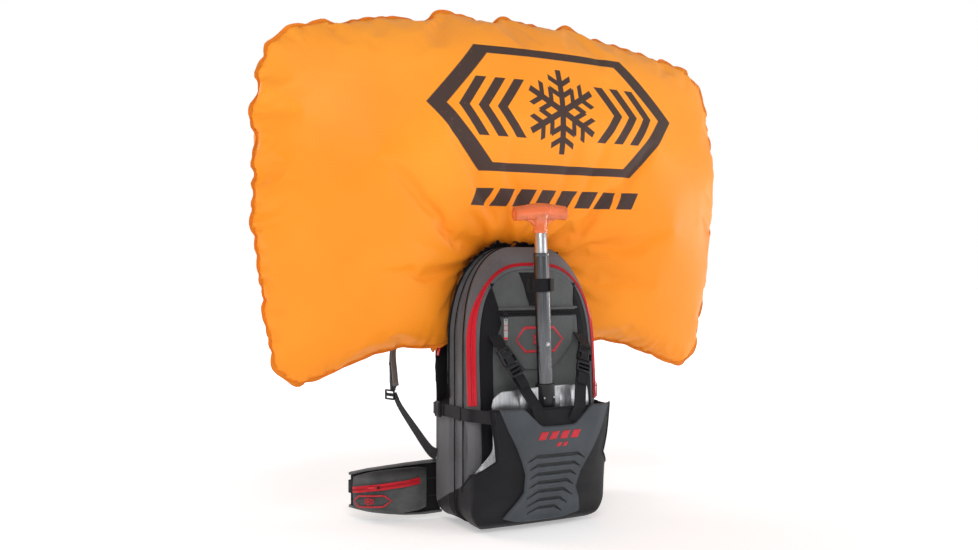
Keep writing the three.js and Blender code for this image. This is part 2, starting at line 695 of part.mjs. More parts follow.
// A web arch whose two feet are turned flat against the frame sheet.
function haulLoop(path, sheetRear) {
  const arch = band(path, 20, 2.4, () => V(0, 1, 0));
  const foot = (s) => block(s * 22 - 8, s * 22 + 8, sheetRear + GAP, -4.2, 368, 388);
  return join(arch, foot(-1), foot(1));
}

// ---------------------------------------------------------------- harness
const STRAP_PATH = [
  V(66, -6, 374),
  V(72, 30, 396),
  V(90, 80, 388),
  V(118, 122, 342),
  V(146, 142, 284),
  V(170, 132, 222),
  V(179, 112, 168),
  V(181, 102, 142),
];
const strapSide = (sign) => (t) => V(1 - 0.75 * t, 0, 0).add(V(0, -sign * 1.1 * t, 0));

function strapCurve(sign) {
  return STRAP_PATH.map((p) => V(sign * p.x, p.y, p.z));
}

function shoulderStrap(side, sign) {
  const path = smooth(strapCurve(sign), 22);
  const pad = band(path, (t) => 64 - 24 * t, 12, strapSide(sign));
  const low = path.at(-1);
  const top = low.clone().add(V(0, -1, -13));
  const web = [
    top,
    V(sign * 177, 82, 104),
    V(sign * 165, 36, 62),
    V(sign * (BAG.half + 6), -12, 26),
    V(sign * (BAG.half + 2), REAR - 8, 18),
  ];
  const webSide = (t) => V(0, 1 - t, -t);
  const frame = cut(block(-15, 15, -4, 4, -11, 11), block(-12, 12, -9, 9, -8, -3), block(-12, 12, -9, 9, 2, 7));
  const adjuster = piece(`strap_adjuster_${side}`, frame, MATERIAL.blackPlastic);
  adjuster.position.copy(low).add(V(sign * 10, 2, -14));
  adjuster.rotation.z = (sign * Math.PI) / 2.4;
  return [
    piece(`shoulder_strap_${side}`, pad, MATERIAL.foam),
    piece(`strap_web_${side}`, band(web, (t) => 20 + 5 * t, 1.8, webSide), MATERIAL.webbing),
    adjuster,
  ];
}

function sternum() {
  const z = 300;
  const half = [V(0, 172, z - 8), V(60, 170, z - 6), V(118, 169, z), V(132, 165.4, z)];
  const web = [...half.slice(1).reverse().map((p) => V(-p.x, p.y, p.z)), ...half];
  const strap = band(smooth(web, 10), 1.8, 20, () => V(0, 1, 0));
  const body = cut(block(-24, 24, 0, 9, -14, 14), block(-18, -8, -5, 6, -11, 11), block(8, 18, -5, 6, -11, 11));
  const buckle = piece("sternum_buckle", body, MATERIAL.blackPlastic);
  buckle.position.set(0, 173.6, z - 8);
  return [piece("sternum_strap", strap, MATERIAL.webbing), buckle];
}

// The trigger sits on the outer face of the left shoulder strap.
function trigger() {
  const share = 0.63; // of the strap's length
  const curve = new THREE.CatmullRomCurve3(strapCurve(-1));
  const along = curve.getTangent(share).negate();
  const across = strapSide(-1)(share);
  across.addScaledVector(along, -across.dot(along)).normalize();
  const out = along.clone().cross(across).normalize();
  const group = new THREE.Group();
  group.position.copy(curve.getPoint(share)).addScaledVector(out, 6.6);
  group.quaternion.setFromRotationMatrix(new THREE.Matrix4().makeBasis(across, out, along));
  const bore = (radius, top) => rod(radius, -10, top, 12).translate(0, 9, 0);
  const holster = cut(block(-14, 14, 0.6, 17, -2, 34), bore(5.4, 24), bore(3.2, 60));
  const handle = join(
    rod(8, -38, 38, 12).rotateY(Math.PI / 2).translate(0, 10.4, -14),
    rod(5, -12, 18, 12).translate(0, 9, 0),
  );
  group.add(piece("trigger_holster", holster, MATERIAL.blackPlastic));
  group.add(piece("trigger_handle", handle, MATERIAL.triggerRed));
  return group;
}

function triggerCable(triggerGroup) {
  triggerGroup.updateMatrix();
  const mouth = V(0, 9, 35).applyMatrix4(triggerGroup.matrix);
  const lead = V(0, 9, 60).applyMatrix4(triggerGroup.matrix);
  const exit = CABLE_EXIT;
  const top = CYLINDER.high + 66 + PLUNGER_TRAVEL + 1;
  const route = [
    V(CYLINDER.x, CYLINDER.y, top),
    V(CYLINDER.x, CYLINDER.y, top + 24),
    V(80, -120, 292),
    V(20, -106, 330),
    V(-50, -102, 350),
    V(-86, -80, 364),
    V(exit.x, exit.y - 14, exit.z),
    V(exit.x, exit.y + 14, exit.z),
    V(-106, 6, 386),
    V(-108, 40, 408),
    V(-108, 86, 402),
    V(-128, 128, 362),
    lead,
    mouth,
  ];
  return piece("trigger_cable", tube(route, 2.5, 8, 78), MATERIAL.hose);
}

const BELT = { root: 128, y: -10, z: -51 };
// Along a hip wing: distance out from its root, how far it wraps towards the wearer, and its half height.
const BELT_STATIONS = [
  [0, 0, 55],
  [40, 2, 55],
  [85, 14, 53],
  [125, 34, 49],
  [150, 56, 44],
  [168, 78, 36],
];

function hipBelt(side, sign) {
  const group = new THREE.Group();
  const centre = BELT_STATIONS.map(([x, y], i) => V(sign * (BELT.root + x), BELT.y + y, BELT.z - i * 1.2));
  const heights = BELT_STATIONS.map(([, , h]) => 2 * h);
  const width = (t) => {
    const s = t * (heights.length - 1);
    const i = Math.min(heights.length - 2, Math.floor(s));
    return heights[i] + (heights[i + 1] - heights[i]) * (s - i);
  };
  const wing = band(centre, width, 14, () => V(0, 0, 1));
  group.add(piece(`hip_belt_${side}`, wing, MATERIAL.foam));
  const at = (x, y) => V(sign * (BELT.root + x), BELT.y + y, BELT.z - 4);
  const web = [at(143, 62), at(161, 84), at(160, 104), at(128, 112), at(100, 110)];
  const clipWeb = band(web, 25, 1.8, () => V(0, 0, 1));
  const half = block(-24, 24, -5, 5, -19, 19).translate(...at(84, 109).toArray());
  group.add(piece(`waist_clip_${side}`, join(clipWeb, half), MATERIAL.blackPlastic));
  return group;
}

function hipPocket() {
  // Along the wing: station on the belt, half height, and how far the pocket stands out.
  const stations = [
    [0.9, 40, 8],
    [1.2, 46, 20],
    [2, 47, 28],
    [3, 44, 28],
    [3.9, 38, 22],
    [4.5, 33, 10],
  ];
  const belt = BELT_STATIONS.map(([x, y]) => V(-BELT.root - x, BELT.y + y, 0));
  const rings = stations.map(([s, half, depth]) => {
    const i = Math.floor(s);
    const along = belt[i + 1].clone().sub(belt[i]).normalize();
    const out = V(-along.y, along.x, 0);
    const rear = belt[i].clone().lerp(belt[i + 1], s - i).addScaledVector(out, 10);
    const at = (share, height) =>
      rear.clone().addScaledVector(out, share * depth).setZ(BELT.z - 2 + height);
    const rearEdge = [at(0, -half), at(0, half)];
    return [...rearEdge, at(0.8, half - 3), at(1, half * 0.5), at(1, -half * 0.6), at(0.75, 3 - half)];
  });
  const slider = join(block(-7, 7, -3, 0, -4, 4), block(-4, 18, -5, -2.9, -2.4, 2.4));
  const sliderMesh = piece("hip_zip_slider", slider, MATERIAL.triggerRed);
  const run = belt[3].clone().sub(belt[2]).normalize();
  const faceOut = V(-run.y, run.x, 0);
  sliderMesh.quaternion.setFromUnitVectors(V(-1, 0, 0), run);
  sliderMesh.position.copy(belt[2]).lerp(belt[3], 0.9).addScaledVector(faceOut, 38.8).setZ(BELT.z + 8);
  return [piece("hip_pocket", loft(rings), MATERIAL.greyFabric), sliderMesh];
}

// ---------------------------------------------------------------- assembly
const pack = new THREE.Group();
pack.add(mainShell(), airbagChannel(), frontPanel(), mainZip(), mainZipSlider(), ...pocketZip());
pack.add(shovelPocket(), shovelPanel(), shovel(), inflation(), ...backSystem(), ...sternum(), ...hipPocket());
for (const [side, sign] of STRAP_SIDES) {
  pack.add(buckleStrap(side, sign), hipBelt(side, sign));
  pack.add(...sideStrap(side, sign), ...shoulderStrap(side, sign));
}
const triggerGroup = trigger();
pack.add(triggerGroup, triggerCable(triggerGroup));

export default pack;
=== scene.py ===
"""Looks of the avalanche airbag backpack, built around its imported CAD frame. Metres throughout, in the
CAD's own frame: +X right in the front view, -Y out of the bag's front, +Z up."""
import bmesh
import bpy
import json
import math
import numpy as np
from mathutils import Matrix, Vector, noise
from mathutils.geometry import delaunay_2d_cdt

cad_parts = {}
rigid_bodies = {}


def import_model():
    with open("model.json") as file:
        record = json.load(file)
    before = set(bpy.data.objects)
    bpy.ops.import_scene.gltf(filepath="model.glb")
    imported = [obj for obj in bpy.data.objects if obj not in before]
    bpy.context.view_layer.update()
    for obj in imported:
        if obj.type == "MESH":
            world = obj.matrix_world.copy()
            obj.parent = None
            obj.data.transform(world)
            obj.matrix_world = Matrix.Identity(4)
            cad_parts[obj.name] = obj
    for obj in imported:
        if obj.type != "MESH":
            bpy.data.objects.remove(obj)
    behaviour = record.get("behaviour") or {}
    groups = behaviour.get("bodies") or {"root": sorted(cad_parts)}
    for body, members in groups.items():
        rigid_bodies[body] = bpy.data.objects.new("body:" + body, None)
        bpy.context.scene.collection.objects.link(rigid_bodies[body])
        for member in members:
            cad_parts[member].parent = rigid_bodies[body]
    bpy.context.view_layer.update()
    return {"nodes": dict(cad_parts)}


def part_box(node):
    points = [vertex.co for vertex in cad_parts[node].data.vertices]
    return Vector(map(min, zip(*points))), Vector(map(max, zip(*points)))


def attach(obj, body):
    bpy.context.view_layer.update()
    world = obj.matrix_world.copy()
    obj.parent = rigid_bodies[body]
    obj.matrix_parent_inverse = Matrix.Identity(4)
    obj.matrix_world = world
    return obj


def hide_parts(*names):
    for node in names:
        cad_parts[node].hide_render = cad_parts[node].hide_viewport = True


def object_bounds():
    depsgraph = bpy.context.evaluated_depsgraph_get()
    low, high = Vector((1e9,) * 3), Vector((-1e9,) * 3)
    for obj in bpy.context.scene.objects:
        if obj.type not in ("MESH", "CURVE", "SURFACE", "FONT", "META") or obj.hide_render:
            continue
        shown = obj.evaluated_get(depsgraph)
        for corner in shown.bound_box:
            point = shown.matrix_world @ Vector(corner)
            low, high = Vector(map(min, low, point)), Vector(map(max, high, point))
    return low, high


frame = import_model()
NODES = frame["nodes"]

# Driving dimensions of the CAD, repeated in metres.
HALF, BASE, TOP = 0.150, -0.110, 0.440  # the bag's half width, its lowest and its highest point
CORNER_X, CORNER_Z, CORNER_BASE = 0.115, 0.185, 0.045  # radii of its top corners, and of its foot's
REAR = -0.030  # its wall against the wearer's back
CHAMFER = 0.018  # how deep the roll to its front face is
AIRBAG_MIDDLE, AIRBAG_HALF = -0.063, 0.135  # the airbag's middle plane, and half its thickness
SIDE_STRAP_Z = 0.113

BATCH = 2000  # how many points are compared at once, which keeps the arrays small


# ---------------------------------------------------------------- camera, floor and light
CAMERA_TURN = math.radians(29.5)
CAMERA_AWAY, CAMERA_SIDE, CAMERA_HEIGHT = 2.35, 0.006, 0.398
CAMERA_LENS, CAMERA_SENSOR, CAMERA_SHIFT = 40.5, 36, -0.0071575
WORLD_LIGHT, WORLD_SEEN = 0.46, 1.0  # how bright the world is as a light, and as a backdrop


def place_camera():
    forward = Vector((math.sin(CAMERA_TURN), math.cos(CAMERA_TURN), 0))
    right = Vector((math.cos(CAMERA_TURN), -math.sin(CAMERA_TURN), 0))
    data = bpy.data.cameras.new("camera")
    data.lens = CAMERA_LENS
    data.sensor_width = CAMERA_SENSOR
    data.shift_y = CAMERA_SHIFT
    camera = bpy.data.objects.new("camera", data)
    camera.location = Vector((0, 0, CAMERA_HEIGHT)) - CAMERA_AWAY * forward - CAMERA_SIDE * right
    camera.rotation_euler = (math.pi / 2, 0, -CAMERA_TURN)
    bpy.context.scene.collection.objects.link(camera)
    bpy.context.scene.camera = camera


def area_light(name, place, target, size, power, colour=(1, 1, 1)):
    data = bpy.data.lights.new(name, "AREA")
    data.energy = power
    data.size = size
    data.color = colour
    light = bpy.data.objects.new(name, data)
    light.location = place
    light.rotation_euler = (Vector(target) - Vector(place)).to_track_quat("-Z", "Y").to_euler()
    bpy.context.scene.collection.objects.link(light)


def light_scene():
    world = bpy.data.worlds.new("studio")
    world.use_nodes = True
    background = world.node_tree.nodes["Background"]
    background.inputs[0].default_value = (1.0, 1.0, 1.0, 1)
    rays = world.node_tree.nodes.new("ShaderNodeLightPath")
    level = world.node_tree.nodes.new("ShaderNodeMapRange")
    level.inputs["To Min"].default_value = WORLD_LIGHT
    level.inputs["To Max"].default_value = WORLD_SEEN
    world.node_tree.links.new(rays.outputs["Is Camera Ray"], level.inputs["Value"])
    world.node_tree.links.new(level.outputs["Result"], background.inputs[1])
    bpy.context.scene.world = world
    area_light("key", (-1.3, -2.6, 2.3), (0, 0, 0.45), 1.1, 29)
    area_light("fill", (2.3, -1.9, 1.0), (0, 0, 0.3), 0.9, 10)
    area_light("strip", (2.4, -0.35, 0.5), (0, -0.2, 0.25), 0.32, 7)
    area_light("rim", (-1.6, 1.8, 1.5), (0, 0, 0.3), 1.2, 16)
    bpy.context.scene.view_settings.view_transform = "Standard"


place_camera()
light_scene()


# ---------------------------------------------------------------- materials
class Mat:
    """A Principled material and the few node calls that its pattern is written with."""

    def __init__(self, name, colour, rough=0.6, **sockets):
        self.data = bpy.data.materials.new(name)
        self.data.use_nodes = True
        self.tree = self.data.node_tree
        self.shader = self.tree.nodes["Principled BSDF"]
        self.shader.inputs["Base Color"].default_value = (*colour, 1)
        self.shader.inputs["Roughness"].default_value = rough
        self.base = colour
        for key, value in sockets.items():
            self.shader.inputs[key.replace("_", " ")].default_value = value
        self.normal = None

    def node(self, kind, values=(), **settings):
        made = self.tree.nodes.new("ShaderNode" + kind)
        for key, value in settings.items():
            setattr(made, key, value)
        for slot, value in dict(values).items():
            if isinstance(value, bpy.types.NodeSocket):
                self.tree.links.new(value, made.inputs[slot])
            else:
                made.inputs[slot].default_value = value
        return made

    def place(self):
        return self.node("TexCoord").outputs["Object"]

    def uv(self):
        return self.node("UVMap", uv_map="metres").outputs["UV"]

    def axes(self, vector):
        split = self.node("SeparateXYZ", {0: vector})
        return split.outputs[0], split.outputs[1], split.outputs[2]

    def math(self, kind, a, b=0.0, clamp=False):
        return self.node("Math", {0: a, 1: b}, operation=kind, use_clamp=clamp).outputs[0]

    def span(self, value, low, high, to_low=0.0, to_high=1.0, smooth=False):
        made = self.node("MapRange", {0: value, 1: low, 2: high, 3: to_low, 4: to_high})
        made.interpolation_type = "SMOOTHSTEP" if smooth else "LINEAR"
        return made.outputs[0]

    def noise(self, vector, scale, detail=2.0, stretch=(1, 1, 1)):
        if stretch != (1, 1, 1):
            vector = self.node("Mapping", {0: vector, 3: stretch}).outputs[0]
        return self.node("TexNoise", {"Vector": vector, "Scale": scale, "Detail": detail}).outputs[0]

    def mix(self, factor, a, b):
        made = self.node("Mix", {0: factor}, data_type="RGBA")
        for slot, value in ((6, a), (7, b)):
            if isinstance(value, bpy.types.NodeSocket):
                self.tree.links.new(value, made.inputs[slot])
            else:
                made.inputs[slot].default_value = (*value, 1)
        return made.outputs[2]

    def colour(self, socket):
        self.tree.links.new(socket, self.shader.inputs["Base Color"])

    def rough(self, socket):
        self.tree.links.new(socket, self.shader.inputs["Roughness"])

    def bump(self, height, depth, strength=1.0):
        made = self.node("Bump", {"Height": height, "Distance": depth, "Strength": strength})
        if self.normal:
            self.tree.links.new(self.normal, made.inputs["Normal"])
        self.normal = made.outputs[0]
        self.tree.links.new(self.normal, self.shader.inputs["Normal"])

    def step(self, value, edge, width=0.0006):
        return self.span(value, edge - width, edge + width)

    def threads(self, vector, pitch, twill=0.0):
        """A plain or twill weave's height, 0 to 1, over two axes in metres."""
        x, y, _ = self.axes(vector)
        turns = 2 * math.pi / pitch
        slanted = self.math("ADD", x, self.math("MULTIPLY", y, twill))
        a = self.math("SINE", self.math("MULTIPLY", slanted, turns))
        b = self.math("SINE", self.math("MULTIPLY", y, turns))
        return self.span(self.math("MULTIPLY", a, b), -1, 1)


def shade(colour, factor):
    return tuple(c * factor for c in colour)


def woven(name, colour, rough, pitch, twill=0.0, sheen=0.3, wear=1.35, depth=0.00025, **sockets):
    """Woven cloth: threads, slubs, faded patches and light dust, all in the mesh's own metres."""
    sockets.setdefault("Specular_IOR_Level", 0.16)
    mat = Mat(name, colour, rough, Sheen_Weight=sheen * 0.35, Sheen_Roughness=0.4, **sockets)
    uv, place = mat.uv(), mat.place()
    weave = mat.threads(uv, pitch, twill)
    cloud = mat.noise(place, 9, 4)
    slub = mat.noise(uv, 420, 2, (1, 0.12, 1))
    tone = mat.mix(mat.span(cloud, 0.3, 0.7), shade(colour, 0.84), shade(colour, wear))
    tone = mat.mix(mat.span(weave, 0, 1, 0.34, 0), tone, shade(colour, 0.45))
    tone = mat.mix(mat.span(slub, 0.55, 0.75, 0, 0.22), tone, shade(colour, 1.9))
    mat.colour(tone)
    mat.rough(mat.span(cloud, 0.3, 0.7, rough - 0.07, rough + 0.07))
    mat.bump(mat.noise(place, 26, 3), 0.0016, 0.5)
    mat.bump(weave, depth)
    return mat


def moulded(name, colour, rough, grain=900, depth=0.00008, **sockets):
    """Moulded plastic or foam: fine grain, scuffs and a little dust."""
    mat = Mat(name, colour, rough, **sockets)
    place = mat.place()
    fine, broad = mat.noise(place, grain, 2), mat.noise(place, 14, 4)
    scuff = mat.noise(place, 70, 5, (1, 1, 0.2))
    tone = mat.mix(mat.span(broad, 0.3, 0.7), shade(colour, 0.88), shade(colour, 1.15))
    mat.colour(mat.mix(mat.span(scuff, 0.6, 0.75, 0, 0.3), tone, shade(colour, 1.7)))
    mat.rough(mat.span(scuff, 0.4, 0.75, rough - 0.05, rough + 0.16))
    mat.bump(fine, depth)
    return mat


def metal(name, colour, rough, stretch=(1, 1, 0.03), scale=500, depth=0.00003):
    """Drawn or brushed metal: lines along one axis, smudges and small scratches."""
    mat = Mat(name, colour, rough, Metallic=1.0)
    place = mat.place()
    lines = mat.noise(place, scale, 3, stretch)
    smudge = mat.noise(place, 11, 4)
    nick = mat.noise(place, 160, 2, (1, 1, 0.3))
    tone = mat.mix(mat.span(lines, 0.35, 0.65), shade(colour, 0.82), shade(colour, 1.12))
    mat.colour(mat.mix(mat.span(nick, 0.68, 0.74, 0, 0.5), tone, shade(colour, 1.5)))
    mat.rough(mat.span(smudge, 0.3, 0.7, rough - 0.06, rough + 0.12))
    mat.bump(lines, depth)
    return mat


# ---------------------------------------------------------------- mesh building
def unit(vectors):
    return vectors / np.maximum(np.linalg.norm(vectors, axis=-1, keepdims=True), 1e-9)


def spline(points, step=0.004, closed=False):
    """Points every step along a Catmull-Rom curve through the given ones."""
    p = np.array(points, float)
    ends = (p[-1:], p[:2]) if closed else (2 * p[:1] - p[1:2], 2 * p[-1:] - p[-2:-1])
    q = np.vstack([ends[0], p, ends[1]])
    t = np.linspace(0, 1, 24, endpoint=False)[:, None]
    parts = []
    for a, b, c, d in zip(q[:-3], q[1:-2], q[2:-1], q[3:]):
        square, cube = (a - 2.5 * b + 2 * c - d / 2) * t * t, (1.5 * (b - c) + (d - a) / 2) * t**3
        parts.append(b + (c - a) * t / 2 + square + cube)
    dense = np.vstack(parts + [q[-2:-1]])
    return even(dense, step)


def even(line, step):
    along = np.r_[0, np.cumsum(np.linalg.norm(np.diff(line, axis=0), axis=1))]
    count = max(2, int(round(along[-1] / step)) + 1)
    t = np.linspace(0, along[-1], count)
    return np.stack([np.interp(t, along, line[:, k]) for k in range(line.shape[1])], 1)


class Shape:
    """Gathers faces, with UVs in metres and a material index each, into one mesh."""

    # The faces of one stitch: its two ends are points 0 and 7, its two crowned sections 1 to 3 and 4 to 6.
    HUMP = [(0, 1, 2), (0, 2, 3), (1, 6, 5, 2), (2, 5, 4, 3), (7, 5, 6)]
    HUMP += [(7, 4, 5), (0, 3, 1), (1, 3, 4, 6), (7, 6, 4)]
    # A rounded end: share of its length, and share of the section's size.
    END_ROUND = ((1.0, 0.35), (0.75, 0.75), (0.35, 0.94))

    def __init__(self):
        self.v, self.f, self.uv, self.m = [], [], [], []

    def add(self, verts, faces, uvs=None, mat=0, at=None):
        base = len(self.v)
        self.v += [tuple(at @ Vector(p)) if at else tuple(p) for p in verts]
        for i, face in enumerate(faces):
            self.f.append([base + k for k in face])
            self.uv.append(uvs[i] if uvs else [(verts[k][0], verts[k][1] + verts[k][2]) for k in face])
            self.m.append(mat if isinstance(mat, int) else mat[i])
        return base

    def grid(self, pts, close=False, mat=0, caps=(False, False), turn=False):
        pts = np.asarray(pts, float)
        rows, cols = pts.shape[:2]
        wrap = np.concatenate([pts, pts[:, :1]], 1) if close else pts
        u = np.concatenate([np.zeros((rows, 1)),
                            np.cumsum(np.linalg.norm(np.diff(wrap, axis=1), axis=2), 1)], 1)
        v = np.r_[0, np.cumsum(np.linalg.norm(np.diff(pts, axis=0), axis=2).mean(1))]
        faces, uvs, mats = [], [], []
        for r in range(rows - 1):
            for c in range(cols if close else cols - 1):
                n = (c + 1) % cols
                quad = [(r, c, c), (r, n, c + 1), (r + 1, n, c + 1), (r + 1, c, c)]
                quad = quad[::-1] if turn else quad
                faces.append([a * cols + b for a, b, _ in quad])
                uvs.append([(u[a, k], v[a]) for a, _, k in quad])
                mats.append(mat(r, c) if callable(mat) else mat)
        for row, want in ((0, caps[0]), (rows - 1, caps[1])):
            if want:
                ring = [row * cols + k for k in range(cols)]
                flip = (row == 0) != turn
                faces.append(ring[::-1] if flip else ring)
                middle = pts[row].mean(0)
                uvs.append([tuple((pts[row, k % cols] - middle)[:2]) for k in faces[-1]])
                mats.append(mat(max(row - 1, 0), 0) if callable(mat) else mat)
        return self.add(pts.reshape(-1, 3), faces, uvs, mats)

    @staticmethod
    def along(value, count):
        """A plain value, or a function of 0 to 1 that is read at each point of a path."""
        return np.array([value(k / (count - 1)) for k in range(count)] if callable(value) else value, float)

    def sweep(self, path, section, across, scale=None, mat=0, close=False, soft=0.0):
        """A section of (across, up) offsets along a path; soft rounds both ends over that length."""
        path = np.asarray(path, float)
        count = len(path)
        side = np.broadcast_to(self.along(across, count), path.shape)
        if close:
            along = unit(np.roll(path, -1, 0) - np.roll(path, 1, 0))
        else:
            along = unit(np.gradient(path, axis=0))
        side = unit(side - (side * along).sum(1, keepdims=True) * along)
        up = np.cross(along, side)
        size = np.ones((count, 2)) if scale is None else self.along(scale, count)
        size = size.reshape(count, -1) * np.ones((1, 2))
        section = np.asarray(section, float)
        wide, high = section[None, :, :1] * size[:, None, :1], section[None, :, 1:] * size[:, None, 1:]
        rings = path[:, None] + side[:, None] * wide + up[:, None] * high
        if soft and not close:
            def rounding(k, away):
                return [path[k] + (rings[k] - path[k]) * b + away * soft * a for a, b in self.END_ROUND]
            first, last = rounding(0, -along[0]), rounding(-1, along[-1])
            rings = np.concatenate([first, rings, last[::-1]])
        if close:
            rings = np.concatenate([rings, rings[:1]])
        return self.grid(rings, close=True, mat=mat, caps=(not close, not close), turn=True)

    def lathe(self, profile, at=Matrix(), sides=40, mat=0):
        a = np.linspace(0, 2 * math.pi, sides, endpoint=False)
        rows = [[(r * math.cos(t), r * math.sin(t), z) for t in a] for r, z in profile]
        placed = [[tuple(at @ Vector(p)) for p in row] for row in rows]
        return self.grid(placed, close=True, mat=mat, caps=(True, True))

    def block(self, size, at=Matrix(), bevel=0.001, segments=2, mat=0):
        mesh = bmesh.new()
        bmesh.ops.create_cube(mesh, size=1)
        bmesh.ops.scale(mesh, vec=size, verts=mesh.verts)
        round_off = dict(offset=bevel, segments=segments, profile=0.6, affect="EDGES")
        bmesh.ops.bevel(mesh, geom=mesh.edges[:], **round_off)
        self.take(mesh, at, mat)

    def take(self, mesh, at=Matrix(), mat=0):
        mesh.verts.ensure_lookup_table()
        faces = [[v.index for v in f.verts] for f in mesh.faces]
        self.add([v.co[:] for v in mesh.verts], faces, mat=mat, at=at)
        mesh.free()

    def plate(self, loops, thickness, at=Matrix(), bevel=0.0006, mat=0):
        """A flat moulding: its outline and its holes, with every edge rounded."""
        curve = bpy.data.curves.new("plate", "CURVE")
        curve.dimensions = "2D"
        curve.fill_mode = "BOTH"
        curve.extrude = thickness / 2 - bevel
        curve.bevel_depth = bevel
        curve.bevel_resolution = 1
        curve.offset = -bevel
        for loop in loops:
            line = curve.splines.new("POLY")
            line.points.add(len(loop) - 1)
            for point, (x, y) in zip(line.points, loop):
                point.co = (x, y, 0, 1)
            line.use_cyclic_u = True
        holder = bpy.data.objects.new("plate", curve)
        made = bpy.data.meshes.new_from_object(holder)
        mesh = bmesh.new()
        mesh.from_mesh(made)
        bmesh.ops.remove_doubles(mesh, verts=mesh.verts, dist=1e-6)
        self.take(mesh, at, mat)
        bpy.data.objects.remove(holder)
        bpy.data.meshes.remove(made)
        bpy.data.curves.remove(curve)

    def stitches(self, path, normal, mat=0, length=0.0028, pitch=0.0042, width=0.00045):
        """A sewn row: one small thread hump after another."""
        points = even(np.asarray(path, float), pitch)
        normals = np.asarray(normal(points) if callable(normal) else normal, float)
        normals = np.broadcast_to(normals, points.shape)
        along = unit(np.gradient(points, axis=0))
        for p, n, t in zip(points, unit(normals), along):
            s = np.cross(t, n) * width
            base, crown = -n * width * 0.4, n * width * 1.1
            a, b = -t * length / 2, t * length / 2
            c, d = a * 0.45, b * 0.45
            mid = [c + s, c + crown, c - s, d - s, d + crown, d + s]
            verts = [p + base + a] + [p + base + m for m in mid] + [p + base + b]
            self.add([tuple(q) for q in verts], self.HUMP, mat=mat)

    def piece(self, name, body, mats, slot, replaces=(), subdivide=False, smooth=40):
        mesh = bpy.data.meshes.new(name)
        mesh.from_pydata(self.v, [], self.f)
        for mat in mats if isinstance(mats, (list, tuple)) else [mats]:
            mesh.materials.append(mat.data)
        mesh.polygons.foreach_set("material_index", self.m)
        layer = mesh.uv_layers.new(name="metres")
        layer.data.foreach_set("uv", np.array([c for face in self.uv for c in face], np.float32).ravel())
        mesh.update()
        work = bmesh.new()
        work.from_mesh(mesh)
        bmesh.ops.recalc_face_normals(work, faces=work.faces)
        work.to_mesh(mesh)
        work.free()
        mesh.shade_smooth()
        mesh.set_sharp_from_angle(angle=math.radians(smooth))
        made = bpy.data.objects.new(name, mesh)
        bpy.context.scene.collection.objects.link(made)
        if subdivide:
            subdivide_once(made)
        if body:
            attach(made, body)
        if replaces:
            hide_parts(*replaces)
        return made


def subdivide_once(made):
    level = made.modifiers.new("subdivide", "SUBSURF")
    level.levels = level.render_levels = 1


def circle(radius, sides=12, flat=1.0):
    return [(radius * math.cos(a), flat * radius * math.sin(a))
            for a in np.linspace(0, 2 * math.pi, sides, endpoint=False)]


def strap_section(width, thickness):
    """A webbing's section: rolled selvedges and a slightly ribbed face."""
    w, h = width / 2, thickness / 2
    top = [(w, 0.3 * h), (w * 0.985, h * 0.85), (w * 0.93, h)]
    top += [(w * 0.84, h * 0.72), (w * 0.5, h * 0.86), (0, h * 0.76)]
    half = top + [(-x, y) for x, y in top[-2::-1]]
    return half + [(x, -y) for x, y in half[::-1]]


def round_section(width, thickness, steps=5, power=0.5):
    """A padded strap's section: full in the middle, rounded at both edges."""
    a = np.linspace(0, 2 * math.pi, 8 * steps, endpoint=False)
    c, s = np.cos(a), np.sin(a)
    return np.c_[width / 2 * np.sign(c) * np.abs(c) ** power,
                 thickness / 2 * np.sign(s) * np.abs(s) ** (power + 0.15)]


def rounded(width, height, radius, steps=4, centre=(0, 0)):
    """A rectangle's outline with round corners."""
    points = []
    for k, (sx, sy) in enumerate(((1, -1), (1, 1), (-1, 1), (-1, -1))):
        for a in np.radians(np.linspace(-90 + 90 * k, 90 * k, steps + 1)):
            x = sx * (width / 2 - radius) + radius * math.cos(a)
            y = sy * (height / 2 - radius) + radius * math.sin(a)
            points.append((centre[0] + x, centre[1] + y))
    return points


def basis(origin, x, y, z):
    made = Matrix(((x[0], y[0], z[0]), (x[1], y[1], z[1]), (x[2], y[2], z[2]))).to_4x4()
    made.translation = Vector([float(c) for c in origin])
    return made


def smoothstep(value, low, high):
    t = np.clip((value - low) / (high - low), 0, 1)
    return t * t * (3 - 2 * t)


def fold(points, scale, seed=0.0):
    """Noise in -1..1 at each point, after scaling its axes."""
    p = np.asarray(points, float).reshape(-1, 3) * np.asarray(scale, float) + seed
    return np.array([noise.noise(Vector(q)) for q in p]).reshape(np.asarray(points).shape[:-1])


# ---------------------------------------------------------------- finishes
NYLON = (0.96, 0.30, 0.022)
GREY = (0.130, 0.130, 0.138)
PANEL = (0.112, 0.118, 0.118)
BLACK = (0.0095, 0.0090, 0.0110)
RED = (0.62, 0.008, 0.022)

black_fabric = woven("black_weave", BLACK, 0.62, 0.0011, sheen=0.12, depth=0.0003)
lining = woven("lining", (0.007, 0.007, 0.008), 0.72, 0.0009, sheen=0.05)
panel_fabric = woven("panel_weave", PANEL, 0.66, 0.001, twill=0.5, sheen=0.15)
webbing = woven("webbing", (0.0105, 0.0105, 0.0125), 0.58, 0.0019, twill=0.6, sheen=0.2, depth=0.0005)
red_tape = woven("red_tape", RED, 0.42, 0.0009, sheen=0.05, wear=1.15, depth=0.0001, Coat_Weight=0.2)
foam_mesh = woven("mesh_foam", (0.026, 0.027, 0.030), 0.82, 0.0026, sheen=0.25, depth=0.0009)
binding = woven("binding", (0.16, 0.165, 0.17), 0.6, 0.0012, sheen=0.2)
thread = woven("thread", (0.05, 0.052, 0.055), 0.5, 0.0006)
eva = moulded("moulded_foam", (0.062, 0.070, 0.080), 0.55, grain=1400, depth=0.00012, Specular_IOR_Level=0.25)
# Painted shade: a darker copy of the moulded foam, laid in the shield's grooves where shade falls.
eva_groove_shade = moulded("moulded_groove_shade", (0.020, 0.023, 0.026), 0.6)
